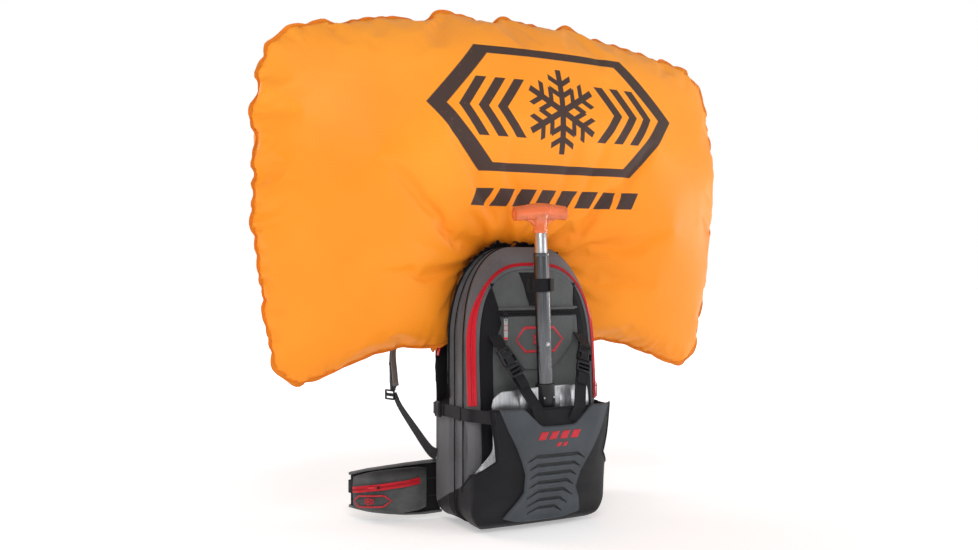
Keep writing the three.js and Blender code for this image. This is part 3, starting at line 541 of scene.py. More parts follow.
plastic = moulded("acetal", (0.010, 0.010, 0.012), 0.35, Specular_IOR_Level=0.35)
sheet_plastic = moulded("frame_sheet", (0.022, 0.022, 0.024), 0.42)
red_plastic = moulded("red_plastic", (0.55, 0.012, 0.02), 0.3)
rubber = moulded("rubber", (0.012, 0.012, 0.014), 0.45)
powder = moulded("powder_coat", (0.62, 0.64, 0.66), 0.38, grain=700, depth=0.00012, Coat_Weight=0.3)
dial = moulded("dial", (0.8, 0.8, 0.77), 0.3, Coat_Weight=0.6)
silver = metal("silver_alloy", (0.62, 0.63, 0.65), 0.3)
graphite = metal("graphite_alloy", (0.125, 0.127, 0.135), 0.25)
brass_metal = metal("brass_metal", (0.62, 0.43, 0.16), 0.3, (1, 1, 1), 300)


# ---------------------------------------------------------------- the airbag
AIR_TOP = [(0, 0.909), (0.15, 0.905), (0.30, 0.881), (0.412, 0.862), (0.47, 0.846), (0.51, 0.812),
           (0.53, 0.76), (0.54, 0.69)]
AIR_LOW = [(0.54, 0.48), (0.52, 0.32), (0.50, 0.215), (0.465, 0.184), (0.42, 0.192), (0.36, 0.212),
           (0.30, 0.23), (0.24, 0.241),
           (0.165, 0.243), (0.138, 0.25)]
AIR_STEP = 0.012
CUT_GROWTH = (1.099, 1.16)  # how much wider and taller the flat cut is than the filled bag
CUT_CENTRE = 0.56
PRESSURE = 4  # of every cloth simulation


def arch(inset, steps=14):
    a = np.linspace(0, math.pi / 2, steps + 1)
    return np.c_[HALF - CORNER_X + (CORNER_X - inset) * np.cos(a),
                 TOP - CORNER_Z + (CORNER_Z - inset) * np.sin(a)]


def air_outline():
    right = AIR_TOP + AIR_LOW + [tuple(p) for p in arch(0.012)[1:]]
    loop = np.array(right + [(-x, z) for x, z in reversed(right) if x > 1e-6])
    loop = np.vstack([loop, loop[:1]])
    return even(loop, AIR_STEP)[:-1]


def inside(loop, x, z):
    a, b = loop, np.roll(loop, -1, 0)
    crosses = (a[:, 1] > z) != (b[:, 1] > z)
    meets = (b[:, 0] - a[:, 0]) * (z - a[:, 1]) / (b[:, 1] - a[:, 1] + 1e-12) + a[:, 0]
    return np.count_nonzero(crosses & (x < meets)) % 2 == 1


def cut_pattern():
    """The airbag's two flat panels, sharing their rim: points, faces, rim indices and the rim's outline."""
    line = air_outline()
    rim = np.c_[line[:, 0] * CUT_GROWTH[0], CUT_CENTRE + (line[:, 1] - CUT_CENTRE) * CUT_GROWTH[1]]
    jitter = np.random.default_rng(3)
    filled = []
    for j, z in enumerate(np.arange(rim[:, 1].min(), rim[:, 1].max(), AIR_STEP * math.sqrt(3) / 2)):
        for x in np.arange(rim[:, 0].min(), rim[:, 0].max(), AIR_STEP):
            q = np.array([x + (AIR_STEP / 2 if j % 2 else 0), z]) + jitter.uniform(-0.18, 0.18, 2) * AIR_STEP
            if inside(rim, *q) and np.min(np.sum((rim - q) ** 2, axis=1)) > (AIR_STEP * 0.6) ** 2:
                filled.append(q)
    count = len(rim)
    points = [Vector(p) for p in np.vstack([rim, np.array(filled)])]
    edges = [(i, (i + 1) % count) for i in range(count)]
    flat, _, faces, origin, _, _ = delaunay_2d_cdt(points, edges, [], 1, 1e-6)
    flat, faces = np.array([tuple(q) for q in flat]), np.array(faces)
    first = np.array([o[0] if o else -1 for o in origin])
    on_rim = (first >= 0) & (first < count)
    back = np.where(on_rim, np.arange(len(flat)), len(flat) + np.cumsum(~on_rim) - 1)
    both = np.vstack([flat, flat[~on_rim]])
    lift = np.r_[np.where(on_rim, 0, -0.002), np.full((~on_rim).sum(), 0.002)]
    start = np.c_[both[:, 0], AIRBAG_MIDDLE + lift, both[:, 1]]
    order = np.where(on_rim)[0][np.argsort(first[on_rim])]
    triangles = [tuple(t) for t in faces] + [tuple(back[t][::-1]) for t in faces]
    return both, start, triangles, order, line


def run_cloth(bag, cloth, frames):
    """Blows an object up as cloth, removes it and returns where its points come to rest."""
    bpy.context.scene.collection.objects.link(bag)
    cloth.settings.use_pressure = True
    cloth.settings.uniform_pressure_force = PRESSURE
    cloth.settings.effector_weights.gravity = 0
    cloth.collision_settings.use_self_collision = False
    cloth.collision_settings.use_collision = False
    cloth.point_cache.frame_start = 1
    cloth.point_cache.frame_end = frames
    for frame_number in range(1, frames + 1):
        bpy.context.scene.frame_set(frame_number)
    seen = bag.evaluated_get(bpy.context.evaluated_depsgraph_get())
    settled = np.array([v.co for v in seen.data.vertices])
    bpy.data.objects.remove(bag)
    bpy.context.scene.frame_set(1)
    return settled


def inflate(start, triangles):
    """Blows the two sewn panels up as cloth and returns where their points come to rest."""
    mesh = bpy.data.meshes.new("airbag_cut")
    mesh.from_pydata([tuple(p) for p in start], [], triangles)
    if mesh.polygons[0].normal.y > 0:
        mesh.flip_normals()
    bag = bpy.data.objects.new("airbag_cut", mesh)
    cloth = bag.modifiers.new("cloth", "CLOTH")
    s = cloth.settings
    s.quality, s.mass, s.bending_stiffness = 6, 0.15, 0.05
    s.tension_stiffness, s.compression_stiffness, s.shear_stiffness = 15, 7.5, 6
    s.tension_damping = s.compression_damping = s.shear_damping = 5
    s.air_damping = 2
    return run_cloth(bag, cloth, 26)


def fit_rim(settled, flat, rim, line):
    """Brings the seam back to the outline and the thickness to its real one, carrying the cloth along."""
    gap = np.c_[line[:, 0] - settled[rim, 0], AIRBAG_MIDDLE - settled[rim, 1], line[:, 1] - settled[rim, 2]]
    reach = 9
    kernel = np.hanning(2 * reach + 3)[1:-1]
    kernel /= kernel.sum()
    padded = np.vstack([gap[-reach - 1:], gap, gap[:reach + 1]])
    gap = np.stack([np.convolve(padded[:, k], kernel, "same")[reach + 1:-reach - 1] for k in range(3)], 1)
    moved = settled.copy()
    for at in range(0, len(settled), BATCH):
        away = np.linalg.norm(flat[at:at + BATCH, None] - flat[rim][None], axis=2)
        weight = 1 / (away + 0.004) ** 3
        moved[at:at + BATCH] += (weight[:, :, None] * gap[None]).sum(1) / weight.sum(1)[:, None]
    thick = np.abs(moved[:, 1] - AIRBAG_MIDDLE).max()
    moved[:, 1] = AIRBAG_MIDDLE + (moved[:, 1] - AIRBAG_MIDDLE) * (AIRBAG_HALF / thick)
    return moved


def airbag_cloth():
    """Coated ripstop with a printed badge and a row of bars on its front."""
    mat = Mat("airbag_ripstop", NYLON, 0.45, Sheen_Weight=0.06, Sheen_Roughness=0.5, Specular_IOR_Level=0.2)
    mat.shader.inputs["Sheen Tint"].default_value = (1, 0.75, 0.4, 1)
    cloth, place = mat.uv(), mat.place()
    u, v, _ = mat.axes(cloth)
    x, y, z = mat.axes(place)

    def rule(value, pitch, width):
        part = mat.math("ABSOLUTE", mat.math("SUBTRACT", mat.math("FRACT", mat.math("DIVIDE", value, pitch)),
                                             0.5))
        return mat.span(part, width, width * 0.4)

    ripstop = mat.math("MAXIMUM", rule(u, 0.0065, 0.09), rule(v, 0.0065, 0.09))
    cloud = mat.noise(place, 3.2, 3)
    tone = mat.mix(mat.span(cloud, 0.3, 0.7), (0.94, 0.262, 0.010), (1.0, 0.330, 0.020))
    tone = mat.mix(mat.span(ripstop, 0, 1, 0, 0.16), tone, (0.80, 0.20, 0.012))
    # Painted highlight: the cloth is made lighter and yellower towards its top, where the light falls.
    tone = mat.mix(mat.span(z, 0.55, 0.92, 0, 0.35, True), tone, (1.0, 0.43, 0.060))

    px, pz = mat.math("SUBTRACT", x, 0.053), mat.math("SUBTRACT", z, 0.712)
    ax, az = mat.math("ABSOLUTE", px), mat.math("ABSOLUTE", pz)
    edge = mat.math("MAXIMUM", mat.math("DIVIDE", az, 0.125),
                    mat.math("DIVIDE", mat.math("ADD", ax, mat.math("MULTIPLY", az, 0.95)), 0.30))
    ring = mat.math("SUBTRACT", mat.step(edge, 0.865, 0.004), mat.step(edge, 1.0, 0.004))
    radius = mat.math("SQRT", mat.math("ADD", mat.math("MULTIPLY", px, px), mat.math("MULTIPLY", pz, pz)))
    turn = mat.math("DIVIDE", mat.math("ARCTAN2", px, pz), math.pi / 3)
    turn = mat.math("SUBTRACT", mat.math("FRACT", mat.math("ADD", turn, 6.5)), 0.5)
    turn = mat.math("MULTIPLY", mat.math("ABSOLUTE", turn), math.pi / 3)
    qx = mat.math("MULTIPLY", radius, mat.math("COSINE", turn))
    qy = mat.math("MULTIPLY", radius, mat.math("SINE", turn))

    def below(value, limit):
        return mat.span(value, limit + 0.0005, limit - 0.0005)

    marks = mat.math("MULTIPLY", below(qy, 0.0065), below(qx, 0.086))
    for start in (0.030, 0.054):
        lean = mat.math("MULTIPLY", mat.math("SUBTRACT", qx, start), 0.866)
        lean = mat.math("SUBTRACT", lean, mat.math("MULTIPLY", qy, 0.5))
        barb = mat.math("MULTIPLY", below(mat.math("ABSOLUTE", lean), 0.0052), below(qy, 0.027))
        marks = mat.math("MAXIMUM", marks, barb)
    slope = mat.math("ADD", ax, mat.math("MULTIPLY", az, 0.75))
    stripes = mat.math("FRACT", mat.math("DIVIDE", mat.math("SUBTRACT", slope, 0.128), 0.042))
    chevron = mat.math("MULTIPLY", mat.span(stripes, 0.56, 0.53), below(az, 0.058))
    chevron = mat.math("MULTIPLY", chevron, mat.math("MULTIPLY", mat.step(slope, 0.128), below(slope, 0.252)))
    marks = mat.math("MAXIMUM", marks, mat.math("MAXIMUM", chevron, ring))
    lean = mat.math("SUBTRACT", x, mat.math("MULTIPLY", mat.math("SUBTRACT", z, 0.54), 0.38))
    bars = mat.span(mat.math("FRACT", mat.math("DIVIDE", mat.math("ADD", lean, 0.132), 0.0492)), 0.74, 0.72)
    bars = mat.math("MULTIPLY", bars, mat.math("MULTIPLY", mat.step(lean, -0.132), below(lean, 0.2616)))
    bars = mat.math("MULTIPLY", bars, below(mat.math("ABSOLUTE", mat.math("SUBTRACT", z, 0.538)), 0.017))
    marks = mat.math("MULTIPLY", mat.math("MAXIMUM", marks, bars), below(y, -0.1))
    worn = mat.math("MULTIPLY", marks, mat.span(mat.noise(place, 240, 3), 0.22, 0.34, 0.8, 1.0))
    mat.colour(mat.mix(mat.math("MULTIPLY", worn, 0.96), tone, (0.021, 0.023, 0.030)))
    mat.rough(mat.span(marks, 0, 1, 0.42, 0.55))
    crease = mat.noise(place, 7.5, 5, (1, 1, 1.6))
    mat.bump(crease, 0.007, 0.32)
    mat.bump(mat.noise(cloth, 46, 3), 0.0009, 0.4)
    mat.bump(ripstop, 0.00012, 0.6)
    return mat


def make_airbag():
    flat, start, triangles, rim, line = cut_pattern()
    settled = fit_rim(inflate(start, triangles), flat, rim, line)
    cloth = Shape()
    cloth.add([tuple(p) for p in settled], triangles, [[tuple(flat[k]) for k in t] for t in triangles])
    rough = cloth.piece("airbag_cloth_rough", None, airbag_cloth(), "airbag_nylon", subdivide=True,
                        smooth=180)
    bpy.context.view_layer.update()
    seen = rough.evaluated_get(bpy.context.evaluated_depsgraph_get())
    mesh = bpy.data.meshes.new_from_object(seen)
    seam = settled[rim]
    along = np.r_[0, np.cumsum(np.linalg.norm(np.diff(seam, axis=0), axis=1))]
    points = np.array([v.co for v in mesh.vertices])
    normals = np.array([v.normal for v in mesh.vertices])
    for at in range(0, len(points), BATCH):
        away = np.linalg.norm(points[at:at + BATCH, None] - seam[None], axis=2)
        near = away.argmin(1)
        s, d = along[near], away.min(1)
        wave = np.sin(s * 150 + 2.5 * np.sin(s * 23)) * (0.6 + 0.4 * np.sin(s * 61 + 1))
        pucker = wave * np.exp(-d / 0.024) * smoothstep(d, 0.0, 0.006) * 0.0032
        points[at:at + BATCH] += normals[at:at + BATCH] * pucker[:, None]
    mesh.vertices.foreach_set("co", points.ravel())
    mesh.name = "airbag_cloth"
    bpy.data.objects.remove(rough)
    bag = bpy.data.objects.new("airbag_cloth", mesh)
    bpy.context.scene.collection.objects.link(bag)
    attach(bag, "pack")
    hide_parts("airbag")

    tape = Shape()
    ripple = np.sin(along * 160) * 0.0012
    path = spline(seam + np.c_[ripple * 0, ripple, ripple * 0], 0.006, closed=True)[:-1]
    middle = np.array([0, AIRBAG_MIDDLE, CUT_CENTRE])
    outward = unit(np.cross(unit(np.roll(path, -1, 0) - np.roll(path, 1, 0)), np.array([0, -1.0, 0])))
    outward = np.where(((path - middle) * outward).sum(1, keepdims=True).mean() < 0, -outward, outward)
    tape.sweep(path - outward * 0.0010, strap_section(0.0120, 0.0018), outward, close=True)
    tape.piece("airbag_seam", "pack", seam_tape, "airbag_nylon")


seam_tape = woven("seam_tape", (0.84, 0.23, 0.016), 0.45, 0.0012, sheen=0.2, wear=1.1)
make_airbag()


# ---------------------------------------------------------------- the bag
def front(z):
    return -0.196 + 0.056 * (z + 0.110) + 0.026 * smoothstep(z, 0.05, -0.10)


def segment(a, b, count):
    return np.linspace(a, b, count + 1)[:-1]


def outline(inset):
    """The bag's outline in X and Z, counter-clockwise from the middle of its base, always the same count."""
    half, rx, rz = HALF - inset, CORNER_X - inset, CORNER_Z - inset
    foot = max(CORNER_BASE - inset, 0.006)
    low, high = BASE + inset, TOP - inset

    def turn(cx, cz, a, b, from_, to, count):
        t = np.radians(np.linspace(from_, to, count + 1))[:-1]
        return np.c_[cx + a * np.cos(t), cz + b * np.sin(t)]

    right = np.vstack([
        segment((0, low), (half - foot, low), 16),
        turn(half - foot, low + foot, foot, foot, -90, 0, 10),
        segment((half, low + foot), (half, high - rz), 44),
        turn(half - rx, high - rz, rx, rz, 0, 90, 46),
        segment((half - rx, high), (0, high), 5),
        [(0, high)],
    ])
    return np.vstack([right, (right * (-1, 1))[-2:0:-1]])


def side_width(z, inset):
    """Half the bag's width at a height."""
    rx, rz = CORNER_X - inset, CORNER_Z - inset
    foot = max(CORNER_BASE - inset, 0.006)
    top = np.clip((np.asarray(z, float) - (TOP - CORNER_Z)) / rz, 0, 1)
    low = np.clip((BASE + inset + foot - np.asarray(z, float)) / foot, 0, 1)
    return HALF - inset - rx * (1 - np.sqrt(1 - top**2)) - foot * (1 - np.sqrt(1 - low**2))


FACE_INSET = 0.0185  # from the bag's outline to the front face's
FACE_TOP = 0.3985  # the front face's arch is lower than the bag's own top
FACE_ARCH = 0.19  # where it starts
GUSSET_REAR = -0.0905


def face_outline(inset):
    """The front face's outline, point for point with the bag's: its arch is lower and squarer."""
    outer, loop = outline(0), outline(FACE_INSET + inset)
    half, top = HALF - FACE_INSET - inset, FACE_TOP - inset
    high = np.where((outer[:, 1] > FACE_ARCH) & (outer[:, 0] >= 0))[0]
    gone = np.r_[0, np.cumsum(np.linalg.norm(np.diff(outer[high], axis=0), axis=1))]
    t = np.linspace(0, math.pi / 2, 500)
    curve = np.c_[half * np.cos(t) ** (2 / 3), FACE_ARCH + (top - FACE_ARCH) * np.sin(t) ** (2 / 3)]
    curve[-1, 0] = 0
    travelled = np.r_[0, np.cumsum(np.linalg.norm(np.diff(curve, axis=0), axis=1))]
    for k in (0, 1):
        loop[high, k] = np.interp(gone / gone[-1], travelled / travelled[-1], curve[:, k])
    for i in high[outer[high, 0] > 0]:
        loop[len(outer) - i] = loop[i] * (-1, 1)
    return loop


def face_width(z, inset):
    """Half the front face's width at a height."""
    low = side_width(z, FACE_INSET + inset)
    share = np.clip((np.asarray(z, float) - FACE_ARCH) / (FACE_TOP - inset - FACE_ARCH), 0, 1)
    return np.where(share > 0, (HALF - FACE_INSET - inset) * (1 - share**3) ** (1 / 3), low)


def roll(z):
    """Where the gusset ends and the roll towards the front face starts."""
    return front(z) + CHAMFER + 0.010 * smoothstep(z, 0.28, 0.43)


def seam_line(number, z):
    """Where the gusset's two long seams run."""
    return np.full(np.shape(z), -0.113) if number == 0 else -0.148 + 0.018 * smoothstep(z, 0.28, 0.43)


GROOVE_FOOT = 0.130


def body_rows():
    """The bag's section from its rear wall, through the airbag's channel, along the gusset and over the roll
    to the front face: inset, y, kind and how far the channel cuts in. Kind 0 is a plain y, 1 a share of the
    roll (given as the inset), 2 a share of the gusset (given as y), and 3 lies under the front panel."""
    rows = [(0.03, -0.0302, 0, 0), (0.012, -0.0302, 0, 0), (0.004, -0.0306, 0, 0), (0.0008, -0.0325, 0, 0)]
    rows += [(0, -0.0365, 0, 0), (0.0004, -0.0384, 0, 0.3)]
    rows += [(0.001, y, 0, 1) for y in (-0.0392, -0.047, -0.055, -0.063, -0.071, -0.079, -0.0865)]
    rows += [(0.0004, -0.088, 0, 0.3), (0.0002, GUSSET_REAR, 0, 0)]
    rows += [(0.0006, share, 2, 0) for share in np.linspace(0.06, 0.95, 18)]
    rows += [(share, 0, 1, 0) for share in (0, 0.04, 0.12, 0.28, 0.5, 0.72, 0.9, 1)]
    return rows + [(0.003, 0.0004, 3, 0), (0.006, 0.005, 3, 0)]


def make_bag():
    rows = body_rows()
    base = outline(0)
    around = np.r_[0, np.cumsum(np.linalg.norm(np.diff(base, axis=0), axis=1))]
    outwards = unit(np.c_[np.gradient(base[:, 1]), -np.gradient(base[:, 0])])
    in_channel = smoothstep(base[:, 1], GROOVE_FOOT - 0.002, GROOVE_FOOT + 0.003)
    rings = []
    start = roll(base[:, 1])
    inner = face_outline(0)
    for inset, y, kind, deep in rows:
        if kind == 1:
            ring = base * (1 - inset) + inner * inset
            bulge = math.sin(inset * math.pi)
            depth = start * (1 - inset) + (front(inner[:, 1]) + 0.0002) * inset - 0.0036 * bulge
        elif kind == 3:
            ring = face_outline(inset)
            depth = front(inner[:, 1]) + y
        else:
            ring = outline(inset)
            depth = np.full(len(ring), y) if kind == 0 else GUSSET_REAR + (start - GUSSET_REAR) * y
        ring = ring - outwards * (0.0195 * deep * in_channel)[:, None]
        rings.append(np.c_[ring[:, 0], depth, ring[:, 1]])
    rings = np.array(rings)
    gusset = smoothstep(rings[:, :, 1], -0.086, -0.100)
    gusset = gusset * smoothstep(rings[:, :, 1] - roll(rings[:, :, 2]), 0.0, 0.008)
    sewn = sum(np.exp(-((rings[:, :, 1] - seam_line(k, rings[:, :, 2])) / 0.0032) ** 2) for k in (0, 1))
    high = smoothstep(rings[:, :, 2], 0.16, 0.32)
    here = np.broadcast_to(around, rings.shape[:2])
    track = np.stack([here * 5.5, rings[:, :, 1] * 34, here * 0], 2)
    long_folds = 0.5 + 0.5 * fold(track, (1, 1, 1), 4.1)
    slack = 0.5 + 0.5 * fold(rings, (13, 16, 11), 1.7)
    belt = 1 - 0.85 * np.exp(-((rings[:, :, 2] - SIDE_STRAP_Z) / 0.018) ** 2)
    folds = 0.0008 + long_folds * (0.0035 + 0.005 * high) + 0.004 * slack
    depth = gusset * (1 - 0.75 * np.clip(sewn, 0, 1)) * belt * folds
    rings[:, :, (0, 2)] -= outwards[None] * depth[:, :, None]

    def finish(r, c):
        y = rows[r + 1][1] if not rows[r][2] and not rows[r + 1][2] else -0.2
        in_groove = -0.0885 <= y <= -0.0384 and base[c, 1] > GROOVE_FOOT - 0.003
        return 1 if in_groove else 0

    shape = Shape()
    shape.grid(rings, close=True, mat=finish, caps=(True, False))
    shape.piece("bag_shell", "pack", [bag_fabric(), lining], "grey_fabric", ["main_shell"])


def make_gusset_seams():
    """The gusset's two long seams, each piped and sewn on both sides."""

    def away_from_middle(p):
        return unit(np.c_[p[:, 0], p[:, 1] * 0, p[:, 2] - 0.2])

    trim = Shape()
    for number in (0, 1):
        for side in (0.0026, -0.0026):
            ring = outline(0.0012)
            path = np.c_[ring[:, 0], seam_line(number, ring[:, 1]) + side, ring[:, 1]][12:-12]
            trim.stitches(path, away_from_middle, length=0.003, pitch=0.0046)
    trim.piece("gusset_stitching", "pack", thread, "grey_fabric")
    cords = Shape()
    for number in (0, 1):
        ring = outline(0.0006)
        path = np.c_[ring[:, 0], seam_line(number, ring[:, 1]), ring[:, 1]]
        loop = even(np.vstack([path, path[:1]]), 0.005)[:-1]
        cords.sweep(loop, circle(0.0012, 8), np.array([0, 1.0, 0]), close=True)
    cords.piece("gusset_piping", "pack", black_fabric, "black_fabric")


def bag_fabric():
    """Heathered grey cloth whose foot is a coated black one below a slanting seam."""
    mat = Mat("grey_weave", GREY, 0.66, Sheen_Weight=0.1, Sheen_Roughness=0.4, Specular_IOR_Level=0.18)
    uv, place = mat.uv(), mat.place()
    _, y, z = mat.axes(place)
    weave = mat.threads(uv, 0.0011, 0.5)
    heather = mat.noise(uv, 900, 2, (1, 0.25, 1))
    cloud = mat.noise(place, 9, 4)
    tone = mat.mix(mat.span(cloud, 0.3, 0.7), shade(GREY, 0.82), shade(GREY, 1.3))
    tone = mat.mix(mat.span(heather, 0.45, 0.7, 0, 0.35), tone, shade(GREY, 2.0))
    tone = mat.mix(mat.span(weave, 0, 1, 0.3, 0), tone, shade(GREY, 0.4))
    seam = mat.math("ADD", z, mat.math("MULTIPLY", mat.math("ADD", y, 0.017), 0.469))
    foot = mat.span(seam, -0.0855, -0.0865)
    tone = mat.mix(foot, tone, BLACK)
    mat.colour(tone)
    mat.rough(mat.span(foot, 0, 1, 0.66, 0.5))
    mat.bump(mat.noise(place, 30, 3), 0.002, 0.5)
    mat.bump(weave, 0.0003)
    return mat


make_bag()
make_gusset_seams()


# ---------------------------------------------------------------- the front panel and its zips
EDGE = 0.0039  # the panel's edge, in from the front face's outline
PANEL_TOP = FACE_TOP - EDGE
PANEL_FOOT = BASE + 0.0224
SMALL_ZIP_Z = 0.310


def lift(x, z):
    room = np.minimum.reduce([face_width(z, EDGE) - np.abs(x), z - PANEL_FOOT, PANEL_TOP - z])
    return 0.009 * smoothstep(room, 0, 0.03)


def face(x, z, out=0.0):
    """The front panel's surface, a distance out from it."""
    x, z = np.asarray(x, float), np.asarray(z, float)
    where = np.stack([x, z * 0, z], -1)
    creases = (0.5 + 0.5 * fold(where, (9, 1, 30), 2.2)) * smoothstep(z, 0.02, 0.1) * 0.0030
    dents = (0.5 + 0.5 * fold(where, (20, 1, 15), 6.4)) * 0.0045
    y = front(z) - lift(x, z) + (creases + dents) * smoothstep(lift(x, z), 0.002, 0.008) - out
    return np.stack([x, y, z], -1)


def patch(shape, left, right, heights, out, columns=14, mat=0):
    """A piece of cloth on the panel, between two edges of (height, x) points, with its rim turned down.
    It returns both edges as (x, height) points."""
    z = np.asarray(heights, float)
    a = np.interp(z, [p[0] for p in left], [p[1] for p in left])
    b = np.interp(z, [p[0] for p in right], [p[1] for p in right])
    t = np.r_[0, np.linspace(0.03, 0.97, columns), 1]
    x = a[:, None] + (b - a)[:, None] * t
    raise_ = np.full(x.shape, out)
    raise_[:, (0, -1)] = -0.0006
    raise_[(0, -1), :] = -0.0006
    zz = np.broadcast_to(z[:, None], x.shape)
    shape.grid(face(x, zz, raise_), mat=mat, turn=True)
    return [(q, w) for q, w in zip(a, z)], [(q, w) for q, w in zip(b, z)]


LEFT_BORDER = [(-0.02, -0.100), (0.214, -0.103), (0.244, -0.101), (0.288, -0.080), (0.330, -0.089),
               (0.370, -0.1005)]
RIGHT_BORDER = [(-0.02, 0.101), (0.237, 0.100), (0.299, 0.099), (0.327, 0.091), (0.355, 0.094),
                (0.370, 0.1005)]
SMALL_POCKET = dict(
    left=[(0.196, -0.030), (0.206, -0.042), (0.222, -0.052), (0.251, -0.077), (0.300, -0.082)],
    right=[(0.196, 0.030), (0.206, 0.046), (0.222, 0.062), (0.246, 0.084), (0.300, 0.094)])


def make_panel():
    low, spread = PANEL_FOOT, math.pi / 2 * 0.96
    heights = low + (PANEL_TOP - 0.0003 - low) * (1 - (1 - np.linspace(0, 1, 120)) ** 2.2)
    half = face_width(heights, EDGE)[:, None]
    x = half * np.sin(np.linspace(-1, 1, 85) * math.pi / 2 * 0.96)[None] / math.sin(spread)
    base = Shape()
    base.grid(face(x, np.broadcast_to(heights[:, None], x.shape)), turn=True)
    panel = base.piece("panel_cloth", "pack", panel_fabric, "grey_fabric", ["front_panel"])
    thicken(panel, 0.0025)

    bands, rows = Shape(), Shape()
    zs = np.linspace(0.0, 0.3680, 90)
    rims = []
    rim = [(z, -face_width(z, EDGE - 0.0005)) for z in zs]
    rims += [patch(bands, rim, LEFT_BORDER, zs, 0.0013)[1]]
    rim = [(z, face_width(z, EDGE - 0.0005)) for z in zs]
    rims += [patch(bands, RIGHT_BORDER, rim, zs, 0.0013)[0]]
    wedge_left = [(0.322, -0.016), (0.330, -0.017), (0.392, -0.037)]
    wedge_right = [(0.322, 0.010), (0.330, 0.011), (0.392, 0.026)]
    patch(bands, wedge_left, wedge_right, np.linspace(0.322, 0.390, 30), 0.0011, 10)
    dark = bands.piece("panel_side_bands", "pack", black_fabric, "black_fabric")
    thicken(dark, 0.0008)

    pocket = Shape()
    heights = np.linspace(0.196, 0.3035, 60)
    edges = patch(pocket, SMALL_POCKET["left"], SMALL_POCKET["right"], heights, 0.0042, 40)
    made = pocket.piece("small_pocket", "pack", panel_fabric, "grey_fabric")
    thicken(made, 0.0008)
    for line, side, out in ((rims[0], -1, 0.0014), (rims[1], 1, 0.0014), (edges[0], 1, 0.0043),
                            (edges[1], -1, 0.0043)):
        for inward in (0.0028, 0.0062):
            p = np.array(line)[2:-2]
            rows.stitches(face(p[:, 0] + side * inward, p[:, 1], out), (0, -1, 0))
    hem = np.linspace(-0.026, 0.026, 20)
    rows.stitches(face(hem, hem * 0 + 0.1995, 0.0043), (0, -1, 0))
    rows.piece("panel_stitching", "pack", thread, "grey_fabric")


def thicken(made, depth):
    level = made.modifiers.new("thickness", "SOLIDIFY")
    level.thickness, level.offset = depth, -1


def coil(shape, path, across, gauge=0.0016, pitch=0.0023, wire=0.00055, mat=1):
    """A zip's sewn coil along a path."""
    line = even(path, pitch / 8)
    along = unit(np.gradient(line, axis=0))
    source = np.linspace(0, 1, len(path))
    here = np.linspace(0, 1, len(line))
    side = unit(np.stack([np.interp(here, source, across[:, k]) for k in range(3)], 1))
    up = np.cross(along, side)
    turn = np.arange(len(line)) * 2 * math.pi / 8
    wound = line + side * (gauge * np.cos(turn))[:, None] + up * (gauge * 0.5 * np.sin(turn))[:, None]
    shape.sweep(wound, circle(wire, 5), side, mat=mat)


TAPE = [(-0.0102, 0), (-0.0100, 0.0012), (-0.0062, 0.0016), (-0.0040, 0.0013), (-0.0034, 0.0024),
        (-0.0012, 0.0028), (-0.0004, 0.0018),
        (0.0004, 0.0018), (0.0012, 0.0028), (0.0034, 0.0024), (0.0040, 0.0013), (0.0062, 0.0016),
        (0.0100, 0.0012), (0.0102, 0)]


def make_main_zip():
    outer, inner = outline(0), face_outline(0)
    a = np.c_[outer[:, 0], roll(outer[:, 1]), outer[:, 1]]
    b = np.c_[inner[:, 0], front(inner[:, 1]), inner[:, 1]]
    keep = np.where((outer[:, 1] > 0.1265) & (inner[:, 1] > 0.1265))[0]
    a, b = a[keep][::-1], b[keep][::-1]
    share = (0.5 + 0.36 * smoothstep(b[:, 2], 0.26, 0.385))[:, None]
    middle = a * (1 - share) + b * share
    side = unit(a - b)
    up = np.cross(unit(np.gradient(middle, axis=0)), side)
    path = middle + up * (0.0004 + 0.0030 * np.sin(share * math.pi))
    line = even(np.hstack([path, side]), 0.005)
    narrow = [0.94 - 0.60 * float(smoothstep(z, 0.25, 0.385)) for z in line[:, 2]]

    def width(t):
        return narrow[min(int(round(t * (len(narrow) - 1))), len(narrow) - 1)], 1
    zip_ = Shape()
    zip_.sweep(line[:, :3], TAPE, unit(line[:, 3:]), width, soft=0.001)
    centre, side = line[:, :3], unit(line[:, 3:])
    out = np.cross(unit(np.gradient(centre, axis=0)), side)
    coil(zip_, centre + out * 0.0021, side)
    zip_.piece("main_zip_tape", "pack", [red_tape, red_coil], "red_zip", ["main_zip"])
    rows = Shape()
    for offset in (-0.0074, 0.0074):
        row = centre + side * offset * np.array(narrow)[:, None] + out * 0.0015
        rows.stitches(row, (0, -1, 0), width=0.0003)
    rows.piece("main_zip_stitching", "pack", red_thread, "red_zip")


def slider_body(shape, at, size=1.0, mat=0):
    """A zip slider, seen from outside: Y points out of the cloth and Z along the zip."""
    turn = at @ Matrix.Rotation(math.pi / 2, 4, "X")
    s = size
    half = [(4.4 * s, -6.5), (5.0 * s, -2), (4.6 * s, 5), (2.0 * s, 7)]
    nose = [(-4.4 * s, -6.5)] + half + [(-x, y) for x, y in half[:0:-1]]
    shape.plate([[(x / 1000, y * s / 1000) for x, y in nose]], 0.0016, turn, 0.0004, mat)
    bridge = spline([(0, 0.0008, -0.0045 * s), (0, 0.0032, -0.003 * s), (0, 0.0036, 0.001 * s),
                     (0, 0.0008, 0.004 * s)], 0.0008)
    shape.sweep([tuple(at @ Vector(p)) for p in bridge], circle(0.0011, 8, 0.6),
                tuple(at.to_3x3() @ Vector((1, 0, 0))), mat=mat)


def ring(shape, at, radius, wire, mat=0):
    turns = np.linspace(0, 2 * math.pi, 25)[:-1]
    loop = [tuple(at @ Vector((radius * math.cos(t), 0, radius * math.sin(t)))) for t in turns]
    shape.sweep(loop, circle(wire, 8), tuple(at.to_3x3() @ Vector((0, 1, 0))), mat=mat, close=True)


